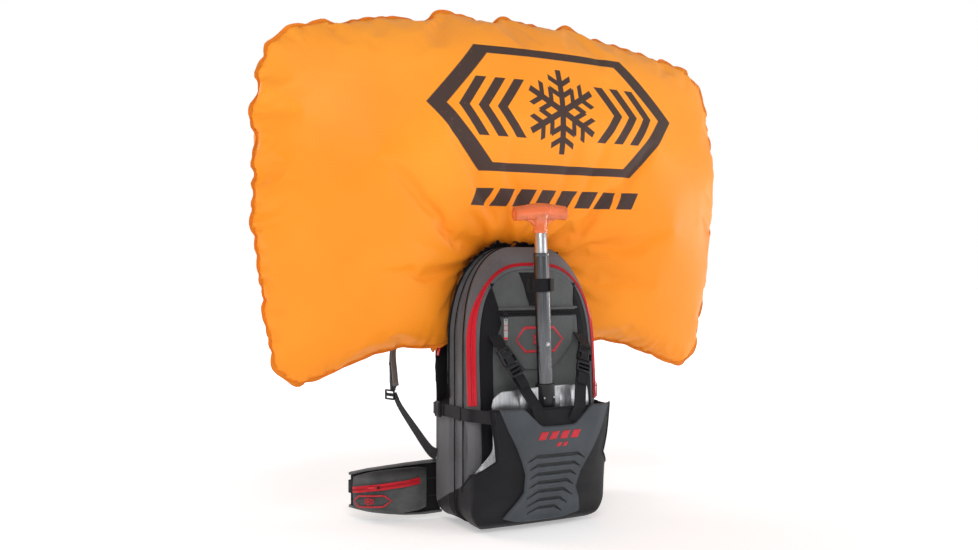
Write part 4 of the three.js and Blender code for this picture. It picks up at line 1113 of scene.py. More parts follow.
def make_sliders():
    z = 0.160
    out = Vector((1, -1, 0)).normalized()
    centre = Vector((HALF - CHAMFER / 2, front(z) + CHAMFER / 2, z)) + out * 0.0052
    side = Vector((1, 1, 0)).normalized()
    at = basis(centre, side, out, (0, 0, 1))
    main = Shape()
    slider_body(main, at, 1.0)
    main.plate([rounded(0.0052, 0.027, 0.0022, centre=(0, 0.0125)),
                rounded(0.0024, 0.004, 0.001, centre=(0, 0.0022))], 0.0018,
               at @ Matrix.Translation((0, 0.0034, 0)) @ Matrix.Rotation(-math.pi / 2, 4, "X"), 0.0005)
    main.piece("main_slider_red", "main_slider", red_plastic, "red_plastic", ["main_zip_slider"])

    low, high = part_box("pocket_zip_slider")
    centre = (low + high) / 2
    pin = Vector((-0.078, -0.1918, 0.3075))
    small = Shape()
    at = basis((centre.x, high.y - 0.0010, SMALL_ZIP_Z), (0, 0, -1), (0, -1, 0), (1, 0, 0))
    slider_body(small, at, 0.8)
    small.block((0.0012, 0.0052, 0.0046), Matrix.Translation((pin.x - 0.0038, pin.y + 0.0022,
                                                              pin.z + 0.0006)), 0.0005)
    small.block((0.0012, 0.0052, 0.0046), Matrix.Translation((pin.x + 0.0038, pin.y + 0.0022,
                                                              pin.z + 0.0006)), 0.0005)
    axle = [(pin.x - 0.0042, pin.y, pin.z), (pin.x + 0.0042, pin.y, pin.z)]
    small.sweep(axle, circle(0.0009, 10), (0, 1, 0))
    small.piece("small_slider_black", "pocket_slider", plastic, "black_plastic", ["pocket_zip_slider"])

    pull = Shape()
    ring(pull, Matrix.Translation(pin - Vector((0, 0.0004, 0.0034))), 0.0046, 0.0008)
    lace = Matrix.Translation(pin - Vector((0, 0.0004, 0.0290))) @ Matrix.Rotation(math.pi / 2, 4, "X")
    loops = [rounded(0.0082, 0.042, 0.0016), rounded(0.0046, 0.0028, 0.001, centre=(0, 0.0178))]
    pull.plate(loops, 0.0019, lace, 0.0005, mat=1)
    for low_at, tall in ((0.0070, 0.0016), (-0.0020, 0.0016), (-0.0178, 0.0044)):
        sits = Matrix.Translation(pin - Vector((0, 0.0004, 0.0290 - low_at)))
        pull.block((0.0086, 0.0026, tall), sits, 0.0004, mat=2)
    pull.piece("small_zip_pull", "pocket_pull", [plastic, pale_lace, red_plastic], "silver_aluminium",
               ["pocket_zip_pull"])


def make_small_zip():
    x = np.linspace(-0.086, 0.098, 60)
    line = face(x, np.full(60, SMALL_ZIP_Z), 0.0022)
    line[:, 1] = np.minimum(line[:, 1], line[:, 1].mean() + 0.001)
    tape = Shape()
    tape.sweep(line, np.array(TAPE) * (0.62, 0.8), (0, 0, -1), soft=0.0006)
    coil(tape, line + (0, -0.0016, 0), np.tile([0, 0, -1.0], (60, 1)), 0.0012, 0.0021, 0.00045)
    tape.piece("small_zip_tape", "pack", [black_fabric, plastic], "black_plastic", ["pocket_zip"])
    hood = Shape()
    hood_line = face(x, np.full(60, SMALL_ZIP_Z + 0.0075), 0.0020)
    hood.sweep(hood_line, round_section(0.0062, 0.0040), (0, -0.35, 1), soft=0.001)
    hood.piece("small_zip_hood", "pack", panel_fabric, "grey_fabric")


red_coil = moulded("red_coil", (0.42, 0.004, 0.012), 0.35)
red_thread = woven("red_thread", (0.45, 0.006, 0.016), 0.5, 0.0006)
pale_lace = woven("pale_lace", (0.36, 0.38, 0.38), 0.55, 0.0012)
red_print = moulded("red_print", (0.50, 0.010, 0.022), 0.42, grain=1600)
make_panel()
make_main_zip()
make_small_zip()
make_sliders()


def polygon_print(shape, polygon, surface, step=0.003, mat=0):
    """A thin printed shape: a convex polygon in (x, z), laid on a surface function."""
    poly = np.array(polygon, float)
    a, b, c, d = poly
    count = max(2, int(np.linalg.norm(b - a) / step) + 1)
    tall = max(2, int(np.linalg.norm(d - a) / step) + 1)
    s, t = np.meshgrid(np.linspace(0, 1, count), np.linspace(0, 1, tall))
    s, t = s[..., None], t[..., None]
    flat = a * (1 - s) * (1 - t) + b * s * (1 - t) + c * s * t + d * (1 - s) * t
    shape.grid(surface(flat[..., 0], flat[..., 1]), mat=mat, turn=True)


def badge(shape, centre, width, height, surface, line=0.1):
    """The plain badge: a long hexagon with a six-armed flake in it."""
    cx, cz = centre
    w, h = width / 2, height / 2
    corners = [(-w, 0), (-w * 0.62, -h), (w * 0.62, -h), (w, 0), (w * 0.62, h), (-w * 0.62, h)]
    inner = [(x * (1 - line * height / width), z * (1 - 1.6 * line)) for x, z in corners]
    for k in range(6):
        n = (k + 1) % 6
        quad = [corners[k], corners[n], inner[n], inner[k]]
        polygon_print(shape, [(cx + x, cz + z) for x, z in quad], surface)
    r, t = h * 0.66, h * 0.07
    for k in range(3):
        a = k * math.pi / 3 + math.pi / 2
        c, s = math.cos(a), math.sin(a)

        def turned(x, z, c=c, s=s):
            return cx + x * c - z * s, cz + x * s + z * c
        polygon_print(shape, [turned(-r, -t), turned(r, -t), turned(r, t), turned(-r, t)], surface)
        for side in (-1, 1):
            for arm in (-1, 1):
                foot, tip = (arm * r * 0.45, 0), (arm * r * 0.78, side * r * 0.36)
                polygon_print(shape, [turned(foot[0], -t), turned(tip[0], tip[1] - t),
                                      turned(tip[0], tip[1] + t), turned(foot[0], t)],
                              surface)


def make_panel_badge():
    mark = Shape()
    badge(mark, (0.004, 0.256), 0.112, 0.052, lambda x, z: face(x, z, 0.0046), 0.13)
    made = mark.piece("panel_badge", "pack", red_print, "red_zip")
    thicken(made, 0.0003)


make_panel_badge()


# ---------------------------------------------------------------- the shovel's pocket
RIM = 0.128  # the pocket's top edge
TRAY_FOOT = -0.094  # where its skin rolls under the bag
TRAY_OUT = 0.0040  # how far it stands outside the bag's outline
WALL_FRONT, WALL_REAR = -0.190, -0.148
EVA_WIDTH = [(-0.100, 0.072), (-0.088, 0.090), (-0.062, 0.076), (-0.034, 0.060), (0.0, 0.064),
             (0.022, 0.074), (0.06, 0.093),
             (0.09, 0.109), (0.131, 0.126), (0.16, 0.130)]


def pocket_face(z):
    return -0.2570 + 0.040 * smoothstep(z, 0.075, -0.09) + 0.022 * smoothstep(z, -0.045, -0.106)


def eva_width(z):
    return np.interp(z, [p[0] for p in EVA_WIDTH], [p[1] for p in EVA_WIDTH])


def tray(x, z, out=0.0):
    """The pocket's skin over X and Z: flat behind the shield and rolling back to the bag's sides."""
    x, z = np.asarray(x, float), np.asarray(z, float)
    half = side_width(np.maximum(z, TRAY_FOOT), -TRAY_OUT)
    flat = eva_width(z) * 0.72
    t = np.clip((np.abs(x) - flat) / np.maximum(half - flat, 1e-4), 0, 1)
    deep = pocket_face(z)
    y = deep + (WALL_FRONT - deep) * (1 - np.sqrt(np.maximum(1 - t**2.3, 0)))
    sag = 0.5 + 0.5 * fold(np.stack([x, z * 0, z], -1), (17, 1, 9), 3.3)
    y = y + sag * 0.003 * smoothstep(t, 0.1, 0.4)
    return np.stack([x, y - out, z], -1)


APEX = (0.030, 0.80)  # the window's inner corner: height and share of the half width
WALL_SPAN = 0.27


def skin_reach(z):
    """How far round its section the skin runs at a height: 1 is the front corner, more is the side wall."""
    return np.interp(z, [-0.030, 0.000, APEX[0], RIM], [1 + WALL_SPAN, 1.0, APEX[1], 0.90])


def section_point(reach, z):
    """A point round the skin's section, signed reach, at a height."""
    side = np.sign(reach)
    share = np.minimum(np.abs(reach), 1)
    half = side_width(np.maximum(z, TRAY_FOOT), -TRAY_OUT)
    p = tray(side * half * share, z)
    wall = np.maximum(np.abs(reach) - 1, 0) / WALL_SPAN
    p[..., 1] += wall * (WALL_REAR - WALL_FRONT)
    p[..., 0] -= side * wall * 0.0030
    return p


def make_tray():
    zs = np.r_[np.linspace(RIM, APEX[0], 24), np.linspace(APEX[0], 0, 8)[1:], np.linspace(0, -0.03, 8)[1:],
               np.linspace(-0.03, TRAY_FOOT, 16)[1:]]
    share = np.sin(np.linspace(-1, 1, 101) * 1.35) / math.sin(1.35)
    reach = share[None] * skin_reach(zs)[:, None]
    front_rows = section_point(reach, np.broadcast_to(zs[:, None], reach.shape))
    last = front_rows[-1]
    under = []
    for s in np.linspace(0, 1, 12)[1:]:
        a = s * math.pi / 2
        z = TRAY_FOOT - 0.0200 * math.sin(a)
        squeeze = side_width(z, -TRAY_OUT) / side_width(TRAY_FOOT, -TRAY_OUT)
        y = last[:, 1] + (np.maximum(-0.150, last[:, 1]) - last[:, 1]) * (1 - math.cos(a))
        under.append(np.c_[last[:, 0] * squeeze, y, np.full(len(last), z)])
    final = under[-1]
    for s in np.linspace(0, 1, 6)[1:]:
        under.append(np.c_[final[:, 0], final[:, 1] + s * (-0.130 - final[:, 1]), final[:, 2]])
    rows = np.concatenate([front_rows, np.array(under)])
    shape = Shape()
    shape.grid(rows, turn=True)
    made = shape.piece("pocket_wings", "pack", wing_fabric, "black_fabric", ["shovel_pocket"])
    thicken(made, 0.0022)

    hems, seams = Shape(), Shape()
    for side in (-1, 1):
        line = section_point(side * skin_reach(zs), zs)
        line = spline(line[:40], 0.003)
        hems.sweep(line, round_section(0.0034, 0.0034), (0, 0, 1), soft=0.001)
        inset = section_point(side * (skin_reach(zs) - 0.045), zs)
        seams.stitches(inset + (0, -0.0004, 0), (side * 0.3, -1, 0))
    top = section_point(np.linspace(-0.9, 0.9, 60), np.full(60, RIM))
    hems.sweep(spline(top, 0.004), round_section(0.0040, 0.0036), (0, 0, 1), soft=0.001)
    hems.piece("pocket_hem", "pack", black_fabric, "black_fabric")
    seams.piece("pocket_stitching", "pack", thread, "black_fabric")


def notch(x):
    """The shield's top edge."""
    return np.interp(np.abs(x), [0, 0.034, 0.041, 0.072, 0.079, 0.126],
                     [0.0945, 0.0952, 0.0985, 0.1265, 0.1315, 0.1305])


RIBS = [(0.0365 - 0.0178 * k, 0.048 - 0.0048 * k, 0.078 - 0.0062 * k) for k in range(7)]


def rib_cut(x, z):
    """How deep the moulding's seven bent grooves are at a point, 0 to 1."""
    deep = np.zeros(np.shape(x))
    a = np.abs(x)
    for height, flat, end in RIBS:
        end = np.minimum(end, eva_width(z) - 0.010)
        centre = height - np.maximum(a - flat, 0) * 0.62
        thick = 0.0036 * (1 - 0.8 * smoothstep(a, flat * 0.75, end))
        deep = np.maximum(deep, smoothstep(thick - np.abs(z - centre), -0.0007, 0.0009) * (a < end))
    return deep


def make_shield():
    u = np.linspace(-1, 1, 131)
    t = np.linspace(0, 1, 185)
    x = np.empty((len(t), len(u)))
    z = np.empty_like(x)
    for c, share in enumerate(u):
        # The notched edge and the width depend on each other, so the place where they meet is found in steps.
        top = 0.13
        for _ in range(12):
            top = notch(share * eva_width(top))
        foot = -0.1000 + 0.010 * abs(share) ** 6
        z[:, c] = foot + (top - foot) * t
        x[:, c] = share * eva_width(z[:, c])
    deep = rib_cut(x, z)
    lip = rib_cut(x, z - 0.0036) * (1 - deep)
    edge = smoothstep(np.abs(u), 1.0, 0.965)[None] * smoothstep(t, 0, 0.012)[:, None]
    edge = edge * smoothstep(t, 1, 0.988)[:, None]
    rows = tray(x, z, 0.0018 + 0.0040 * edge)
    rows[..., 1] += deep * 0.0034 - lip * 0.0014
    # A shallow dent in the middle of its foot.
    arc = np.exp(-((x / 0.038) ** 2 + ((z + 0.093) / 0.008) ** 2)) * 0.004
    rows[..., 1] += arc * smoothstep(z, -0.100, -0.094)

    # Painted shade: faces deep in the grooves take the darker copy of the moulding.
    def finish(r, c):
        return 1 if deep[r:r + 2, c:c + 2].mean() > 0.6 else 0

    shape = Shape()
    shape.grid(rows, mat=finish, turn=True)
    made = shape.piece("shield_moulding", "pack", [eva, eva_groove_shade], "moulded_eva", ["shovel_panel"], smooth=60)
    thicken(made, 0.0026)

    row = Shape()
    for line in (rows[:, 3], rows[:, -4], rows[-4, 3:-3]):
        row.stitches(line + (0, -0.0004, 0), (0, -1, 0), length=0.003, pitch=0.005)
    row.piece("shield_stitching", "pack", thread, "moulded_eva")


def make_shield_bars():
    """Two rows of plain slanted bars, printed on the shield."""
    bars = Shape()

    def surface(x, z):
        return tray(x, z, 0.0062)

    for k in range(4):
        left = -0.048 + 0.0245 * k
        polygon_print(bars, [(left, 0.069), (left + 0.017, 0.069), (left + 0.025, 0.084),
                             (left + 0.008, 0.084)], surface)
    for k in range(2):
        left = -0.006 + 0.014 * k
        polygon_print(bars, [(left, 0.054), (left + 0.009, 0.054), (left + 0.0135, 0.062),
                             (left + 0.0045, 0.062)], surface)
    made = bars.piece("shield_bars", "pack", red_print, "red_zip")
    thicken(made, 0.0003)


wing_fabric = woven("wing_weave", (0.0130, 0.0125, 0.0150), 0.5, 0.0013, sheen=0.15, depth=0.0003)
make_tray()
make_shield()
make_shield_bars()


# ---------------------------------------------------------------- the shovel
LEAN = Matrix.Translation((-0.003, -0.226, 0)) @ Matrix.Rotation(math.radians(-2), 4, "Y")


def placed(points):
    return np.array([tuple(LEAN @ Vector(p)) for p in np.asarray(points).reshape(-1,
        3)]).reshape(np.shape(points))


def oval(radius, z, flat=0.9, sides=40, wide=1.07):
    a = np.linspace(0, 2 * math.pi, sides, endpoint=False)
    return [(radius * wide * math.cos(t), radius * flat * math.sin(t), z) for t in a]


LEAN_OUT, LEAN_UP = (tuple(LEAN.to_3x3() @ Vector(axis)) for axis in ((0, 1, 0), (0, 0, 1)))
BUTTON_Z, KEEPER_Z = 0.250, 0.365  # heights along the shaft


def make_blade():
    u = np.linspace(-1, 1, 97)
    t = np.linspace(0, 1, 110)
    uu, tt = np.meshgrid(u, t)
    top = 0.168 - 0.004 * np.abs(uu) - 0.026 * (1
                                                - np.sqrt(1 - np.clip((np.abs(uu) - 0.80) / 0.2, 0, 1) ** 2))
    z = -0.078 + tt * (top + 0.078)
    half = np.where(tt < 0.12, 0.088 + 0.024 * np.sqrt(tt / 0.12), 0.112)
    half = half + 0.034 * smoothstep(z, 0.062, -0.008) * smoothstep(z, -0.066, -0.030)
    x = uu * half
    y = -0.0055 * (1 - uu**2) + 0.006 + 0.008 * smoothstep(np.abs(uu), 0.86, 1.0)
    y = y + 0.020 * smoothstep(np.abs(x), 0.104, 0.146)
    y = y + 0.030 * smoothstep(z, 0.030, -0.078)
    for centre in (-0.060, -0.030, 0.030, 0.060):
        ends = smoothstep(z, -0.05, -0.02) * smoothstep(z, 0.160, 0.135)
        y = y - 0.0042 * np.exp(-((x - centre) / 0.0075) ** 2) * ends
    y = y - 0.010 * np.exp(-(x / 0.021) ** 2) * smoothstep(z, 0.02, 0.13)
    blade = Shape()
    blade.grid(placed(np.stack([x, y, z], -1)), turn=True)
    made = blade.piece("blade_pressing", "pack", blade_metal, "silver_aluminium", ["shovel_blade"])
    thicken(made, 0.0018)


def make_socket():
    """The blade's socket with six rivets."""
    dome = [(0.0001, 0.0), (0.0024, 0.0), (0.0022, 0.0008), (0.0013, 0.0014), (0.0001, 0.0016)]
    socket = Shape()
    rows = [(0.0150, 0.060), (0.0180, 0.062), (0.0183, 0.100), (0.0180, 0.166), (0.0186, 0.168),
            (0.0186, 0.172), (0.0168, 0.173),
            (0.0150, 0.173), (0.0149, 0.062)]
    socket.grid(placed([oval(r, h, 0.94) for r, h in rows]), close=True, caps=(False, False))
    for z_at in (0.090, 0.118, 0.146):
        for side in (-1, 1):
            at = LEAN @ Matrix.Translation((side * 0.0105, -0.0137, z_at))
            at = at @ Matrix.Rotation(math.pi / 2, 4, "X")
            socket.lathe(dome, at @ Matrix.Rotation(side * -0.5, 4, "Y"), 16, mat=1)
    socket.piece("blade_socket", "pack", [plastic, silver], "silver_aluminium")


def make_shafts():
    """The outer shaft with its collar and eyelet, the inner shaft, and the button that locks them."""
    lower = Shape()
    wall = [(0.0130, 0.0625), (0.0142, 0.0622), (0.0145, 0.0628), (0.0145, 0.4262), (0.0142, 0.4270),
            (0.0132, 0.4270), (0.0130, 0.4262),
            (0.0130, 0.0625)]
    lower.grid(placed([oval(r, h, 0.96, 48) for r, h in wall]), close=True)
    collar = [(0.0145, 0.4215), (0.0149, 0.4218), (0.0150, 0.4230), (0.0150, 0.4265), (0.0147, 0.4278),
              (0.0136, 0.4280), (0.0131, 0.4275)]
    lower.grid(placed([oval(r, h, 0.97, 48) for r, h in collar]), close=True)
    eyelet = [(0.0046, 0.0), (0.0046, 0.0010), (0.0042, 0.0014), (0.0037, 0.0012), (0.0036, 0.0)]
    lower.lathe(eyelet, LEAN @ Matrix.Translation((0, -0.0137, BUTTON_Z))
                @ Matrix.Rotation(math.pi / 2, 4, "X"), 24, mat=2)
    lower.piece("outer_shaft", "pack", [graphite, plastic, silver], "dark_aluminium", ["shovel_shaft_lower"])

    upper = Shape()
    wall = [(0.0105, 0.2283), (0.0117, 0.2280), (0.0120, 0.2286), (0.0120, 0.4654), (0.0117, 0.4660),
            (0.0105, 0.4658), (0.0105, 0.2283)]
    upper.grid(placed([oval(r, h, 0.97, 48) for r, h in wall]), close=True)
    upper.piece("inner_shaft", "upper_shaft", silver, "silver_aluminium", ["shovel_shaft_upper"])

    button = Shape()
    pin = [(0.0001, 0.0), (0.0030, 0.0), (0.0034, 0.0006), (0.0034, 0.0052), (0.0030, 0.0064),
           (0.0018, 0.0070), (0.0001, 0.0072)]
    button.lathe(pin, LEAN @ Matrix.Translation((0, -0.0092, BUTTON_Z))
                 @ Matrix.Rotation(math.pi / 2, 4, "X"), 24)
    button.piece("button_pin", "button", silver, "silver_aluminium", ["spring_button"])


def make_grip():
    """The T-grip: a finger-grooved bar, its neck, and the webs between them."""
    grip = Shape()
    rings = []
    for s in np.linspace(-1, 1, 41):
        swell = 0.0150 + 0.0018 * math.cos(s * math.pi) + 0.0012 * abs(s) ** 3
        swell *= math.sqrt(max(0.02, 1 - max(0, (abs(s) - 0.93) / 0.07) ** 2)) if abs(s) > 0.93 else 1
        a = np.linspace(0, 2 * math.pi, 32, endpoint=False)
        ripple = 1 - 0.035 * (np.cos(8 * a) > 0.3) * (abs(s) > 0.3) * (abs(s) < 0.9)
        rings.append([(s * 0.061, swell * r * 0.86 * math.cos(t),
                       0.508 + swell * r * math.sin(t) - 0.004 * s * s)
                      for t, r in zip(a, ripple)])
    grip.grid(placed(rings), close=True, caps=(True, True))
    neck = [(0.0100, 0.4440), (0.0101, 0.4655), (0.0136, 0.4668), (0.0140, 0.470), (0.0132, 0.476),
            (0.0126, 0.484), (0.0134, 0.492),
            (0.0160, 0.500), (0.0150, 0.504)]
    grip.grid(placed([oval(r, h, 0.92, 40) for r, h in neck]), close=True, caps=(True, True))
    for side in (-1, 1):
        web = [(side * 0.012, 0, 0.484), (side * 0.020, 0, 0.492), (side * 0.034, 0, 0.4965)]
        grip.sweep(placed(spline(web, 0.003)), round_section(0.006, 0.010), LEAN_OUT, soft=0.001)
    grip.piece("grip_moulding", "upper_shaft", clear_red, "grip_plastic", ["shovel_grip"])


def make_keeper():
    """The hook-and-loop strap: sewn to the panel behind the shaft, round it, and its loose end pressed on."""
    keeper = Shape()
    turns = np.radians(np.linspace(60, 480, 50)[:-1])
    loop = [(0.0180 * math.cos(a), 0.0172 * math.sin(a), KEEPER_Z) for a in turns]
    loop = sorted([p for p in loop if p[1] <= 0.0135], key=lambda p: math.atan2(p[0], -p[1]))
    feet = [(0.0140, 0.024, KEEPER_Z), (0.0128, 0.036, KEEPER_Z)]
    loop = [(-x, y, z) for x, y, z in feet[::-1]] + loop + feet
    keeper.sweep(placed(spline(loop, 0.002)), strap_section(0.026, 0.0018), LEAN_UP)
    tab = LEAN @ Matrix.Translation((0.012, -0.0165, KEEPER_Z)) @ Matrix.Rotation(0.65, 4, "Z")
    keeper.block((0.020, 0.0024, 0.0245), tab, 0.0008)
    keeper.piece("keeper_loop", "pack", webbing, "webbing", ["shaft_keeper"])


blade_metal = metal("blade_alloy", (0.50, 0.51, 0.53), 0.34, (1, 1, 0.05), 380)
clear_red = moulded("clear_red", (1.0, 0.27, 0.085), 0.2, Transmission_Weight=0.5, IOR=1.46, Coat_Weight=0.3)
make_blade()
make_socket()
make_shafts()
make_grip()
make_keeper()


# ---------------------------------------------------------------- webbing and buckles over the shovel
def ladder_lock(shape, at, wide=0.030, tall=0.024, mat=0):
    """A two-slot slider for webbing, in its own XY plane."""
    slots = [rounded(wide - 0.006, tall * 0.17, 0.0012, centre=(0, side * tall * 0.24)) for side in (1, -1)]
    shape.plate([rounded(wide, tall, 0.0035)] + slots, 0.0040, at, 0.0008, mat)
    lip = at @ Matrix.Translation((0, tall * 0.5 - 0.001, 0.0026))
    shape.block((wide - 0.003, 0.0016, 0.0024), lip, 0.0006, mat=mat)
    for k in range(5):
        x = (k - 2) * (wide - 0.010) / 4.6
        shape.block((0.0018, tall * 0.20, 0.0012), at @ Matrix.Translation((x, 0, 0.0022)), 0.0004, mat=mat)


def make_front_buckle(side, sign):
    centre = Vector((sign * 0.084, -0.219, 0.211))
    bend = Vector((sign * 0.050, -0.2592, 0.133))
    up = (centre - bend).normalized()
    across = (Vector((1, 0, 0)) - up * up.x).normalized()
    inward = up.cross(across).normalized()
    clip = basis(centre, across, inward, up)
    flat = clip @ Matrix.Translation((0, -0.0045, 0)) @ Matrix.Rotation(math.pi / 2, 4, "X")

    socket = Shape()
    shell = [(-15, 1), (-12, -0.4), (12, -0.4), (15, 1), (15.4, 10), (14.2, 20), (13.2, 24), (13.6, 33),
             (12.4, 34.4), (-12.4, 34.4),
             (-13.6, 33), (-13.2, 24), (-14.2, 20), (-15.4, 10)]
    window = [rounded(0.0042, 0.0125, 0.0016, centre=(s * 0.0112, 0.0085)) for s in (-1, 1)]
    slot = rounded(0.0208, 0.0042, 0.0015, centre=(0, 0.0288))
    socket.plate([[(x / 1000, y / 1000) for x, y in shell]] + window + [slot], 0.0098, flat, 0.0012)
    rib = [rounded(0.0130, 0.0150, 0.003, centre=(0, 0.0105)),
           rounded(0.0104, 0.0124, 0.002, centre=(0, 0.0105))]
    socket.plate(rib, 0.0112, flat, 0.0005)
    for k in range(3):
        rung = flat @ Matrix.Translation((0, 0.0205 + 0.0022 * k, 0.0050))
        socket.block((0.019, 0.0016, 0.0012), rung, 0.0004)
    socket.piece(f"buckle_shell_{side}", "pack", plastic, "black_plastic", [f"buckle_socket_{side}"])

    plug = Shape()
    slots = [rounded(0.0236, 0.0044, 0.0016, centre=(0, -0.0192)),
             rounded(0.0236, 0.0040, 0.0016, centre=(0, -0.0105))]
    frame_outline = [(-15, -24), (-13, -26), (13, -26), (15, -24), (15.2, -14), (14.6, -3), (12.5, -1.4),
                     (-12.5, -1.4), (-14.6, -3),
                     (-15.2, -14)]
    plug.plate([[(x / 1000, y / 1000) for x, y in frame_outline]] + slots, 0.0056, flat, 0.0010)
    for s in (-1, 1):
        prong = [(s * 7.6, -2.5), (s * 11.6, -2.5), (s * 11.8, 5), (s * 12.6, 9), (s * 12.2, 12),
                 (s * 9.4, 13.6), (s * 8.8, 8), (s * 8.4, 2)]
        prong = prong if s > 0 else prong[::-1]
        plug.plate([[(x / 1000, y / 1000) for x, y in prong]], 0.0042, flat, 0.0008)
    plug.block((0.0034, 0.0150, 0.0034), flat @ Matrix.Translation((0, 0.0050, 0)), 0.0010)
    for k in range(6):
        plug.block((0.0020, 0.0040, 0.0010), flat
                   @ Matrix.Translation(((k - 2.5) * 0.0042, -0.0149, 0.0029)), 0.0004)
    plug.piece(f"buckle_prongs_{side}", f"plug_{side}", plastic, "black_plastic", [f"buckle_plug_{side}"])

    foot = Vector((sign * 0.036, -0.2592, 0.101))
    top = centre - up * 0.003 - inward * 0.0002
    half = [tuple(foot), tuple(foot * 0.5 + bend * 0.5 + Vector((0, -0.0005, 0))), tuple(bend),
            tuple(bend * 0.6 + top * 0.4 + inward * 0.0010),
            tuple(top)]
    path = spline(half, 0.003)

    def facing(t):
        blend = smoothstep(t, 0.15, 0.6)
        return np.array((1.0, 0, 0)) * (1 - blend) + np.array(across) * blend
    web = Shape()
    web.sweep(path, strap_section(0.025, 0.0019), facing)
    tail = centre - up * 0.021 - inward * 0.0030
    loose = spline([tuple(tail), tuple(tail - up * 0.012 - inward * 0.0035),
                    tuple(tail - up * 0.030 - inward * 0.002)], 0.003)
    web.piece(f"web_low_{side}", "pack", webbing, "webbing", [f"lower_web_{side}"])
    end = Shape()
    end.sweep(loose, strap_section(0.0215, 0.0015), np.array(across), soft=0.0006)
    end.piece(f"web_end_{side}", f"plug_{side}", webbing, "webbing")

    anchor = face(sign * 0.098, 0.266, 0.0016)
    rise = centre + up * 0.0395 + inward * -0.0045
    slack = np.array(rise) * 0.5 + np.array(anchor) * 0.5 + np.array((0, -0.0016, 0))
    high = Shape()
    path = spline([tuple(rise), tuple(slack), tuple(anchor)], 0.003)
    high.sweep(path, strap_section(0.025, 0.0019), np.array(across))
    turn = centre + up * 0.0288 + inward * -0.0045
    fold_path = [turn + up * 0.0108 - inward * 0.0012, turn + up * 0.004 - inward * 0.0034,
                 turn - up * 0.001 - inward * 0.0040]
    high.sweep(spline([tuple(p) for p in fold_path], 0.002), strap_section(0.0225, 0.0016), np.array(across))
    for row in (-0.0088, 0.0088):
        a = np.array(anchor) + np.array(across) * row + np.array((0, -0.0014, 0))
        high.stitches([a + np.array(up) * 0.006, a - np.array(up) * 0.010], (0, -1, 0), mat=1, width=0.0006)
    high.piece(f"web_high_{side}", "pack", [webbing, thread], "webbing", [f"upper_web_{side}"])


def make_side_strap(side, sign):
    z = SIDE_STRAP_Z
    corner = front(z) + CHAMFER
    path = [(sign * 0.1515, REAR - 0.004, z), (sign * 0.1518, -0.10, z), (sign * 0.152, corner - 0.002, z),
            (sign * 0.1440, front(z) - 0.006, z), (sign * 0.1335, -0.236, z + 0.001),
            (sign * 0.1215, -0.2445, z + 0.001)]
    web = Shape()
    line = spline(path, 0.003)
    line[:, 1] = np.maximum(line[:, 1], -0.25)
    web.sweep(line, strap_section(0.025, 0.0019), (0, 0, 1))
    web.sweep([(sign * 0.1537, -0.030, z), (sign * 0.1537, -0.052, z), (sign * 0.1535, -0.074, z)],
              strap_section(0.024, 0.0017), (0, 0, 1),
              soft=0.0006)
    loop = spline([(sign * 0.1540, -0.132, z), (sign * 0.1540, -0.146, z)], 0.003)
    web.sweep(loop, strap_section(0.0285, 0.0018), (0, 0, 1), soft=0.0004)
    web.piece(f"side_web_{side}", "pack", webbing, "webbing", [f"side_strap_{side}"])
    lock = Shape()
    out = (sign, 0, 0)
    at = basis((sign * 0.1560, REAR - 0.024, z), (0, 0, 1), (0, sign, 0), out)
    ladder_lock(lock, at, 0.032, 0.024)
    lock.piece(f"side_lock_{side}", "pack", plastic, "black_plastic", [f"side_adjuster_{side}"])


for side_name, side_sign in (("left", -1), ("right", 1)):
    make_front_buckle(side_name, side_sign)
    make_side_strap(side_name, side_sign)


def settle(made, held=None, shrink=0.0020, cap=0.0024):
    """Fills a padded piece: it starts a little too small and is blown up as cloth, its sewn points held."""
    mesh = made.data
    start = np.array([v.co for v in mesh.vertices])
    held = np.zeros(len(start)) if held is None else np.asarray(held, float)
    small = start - np.array([v.normal for v in mesh.vertices]) * (shrink * (1 - held))[:, None]
    copy = mesh.copy()
    copy.vertices.foreach_set("co", small.ravel())
    copy.update()
    trial = bpy.data.objects.new("settling", copy)
    pins = trial.vertex_groups.new(name="sewn")
    pins.add([int(k) for k in np.where(held > 0.5)[0]], 1.0, "REPLACE")
    cloth = trial.modifiers.new("cloth", "CLOTH")
    s = cloth.settings
    s.quality, s.mass, s.bending_stiffness = 5, 0.1, 0.1
    s.tension_stiffness, s.compression_stiffness, s.shear_stiffness = 12, 4, 4
    s.vertex_group_mass = "sewn"
    move = run_cloth(trial, cloth, 20) - small
    size = np.linalg.norm(move, axis=1, keepdims=True)
    final = small + move * np.minimum(1, cap / np.maximum(size, 1e-9))
    mesh.vertices.foreach_set("co", final.ravel())
    work = bmesh.new()
    work.from_mesh(mesh)
    bmesh.ops.triangulate(work, faces=[f for f in work.faces if len(f.verts) > 4])
    work.to_mesh(mesh)
    work.free()
    mesh.update()
    subdivide_once(made)


# ---------------------------------------------------------------- the hip belt
BELT = [(0, 0, 55), (40, 2, 55), (85, 14, 53), (125, 34, 49), (150, 56, 44), (168, 78, 36)]


def belt_line(sign):
    pts = np.array([[sign * (128 + x), -10 + y, -51 - 1.2 * k] for k, (x, y, _) in enumerate(BELT)]) / 1000
    line = spline(pts, 0.0035)
    share = np.linspace(0, 1, len(line))
    half = np.interp(share * (len(BELT) - 1), range(len(BELT)), [h / 1000 for *_, h in BELT])
    return line, half


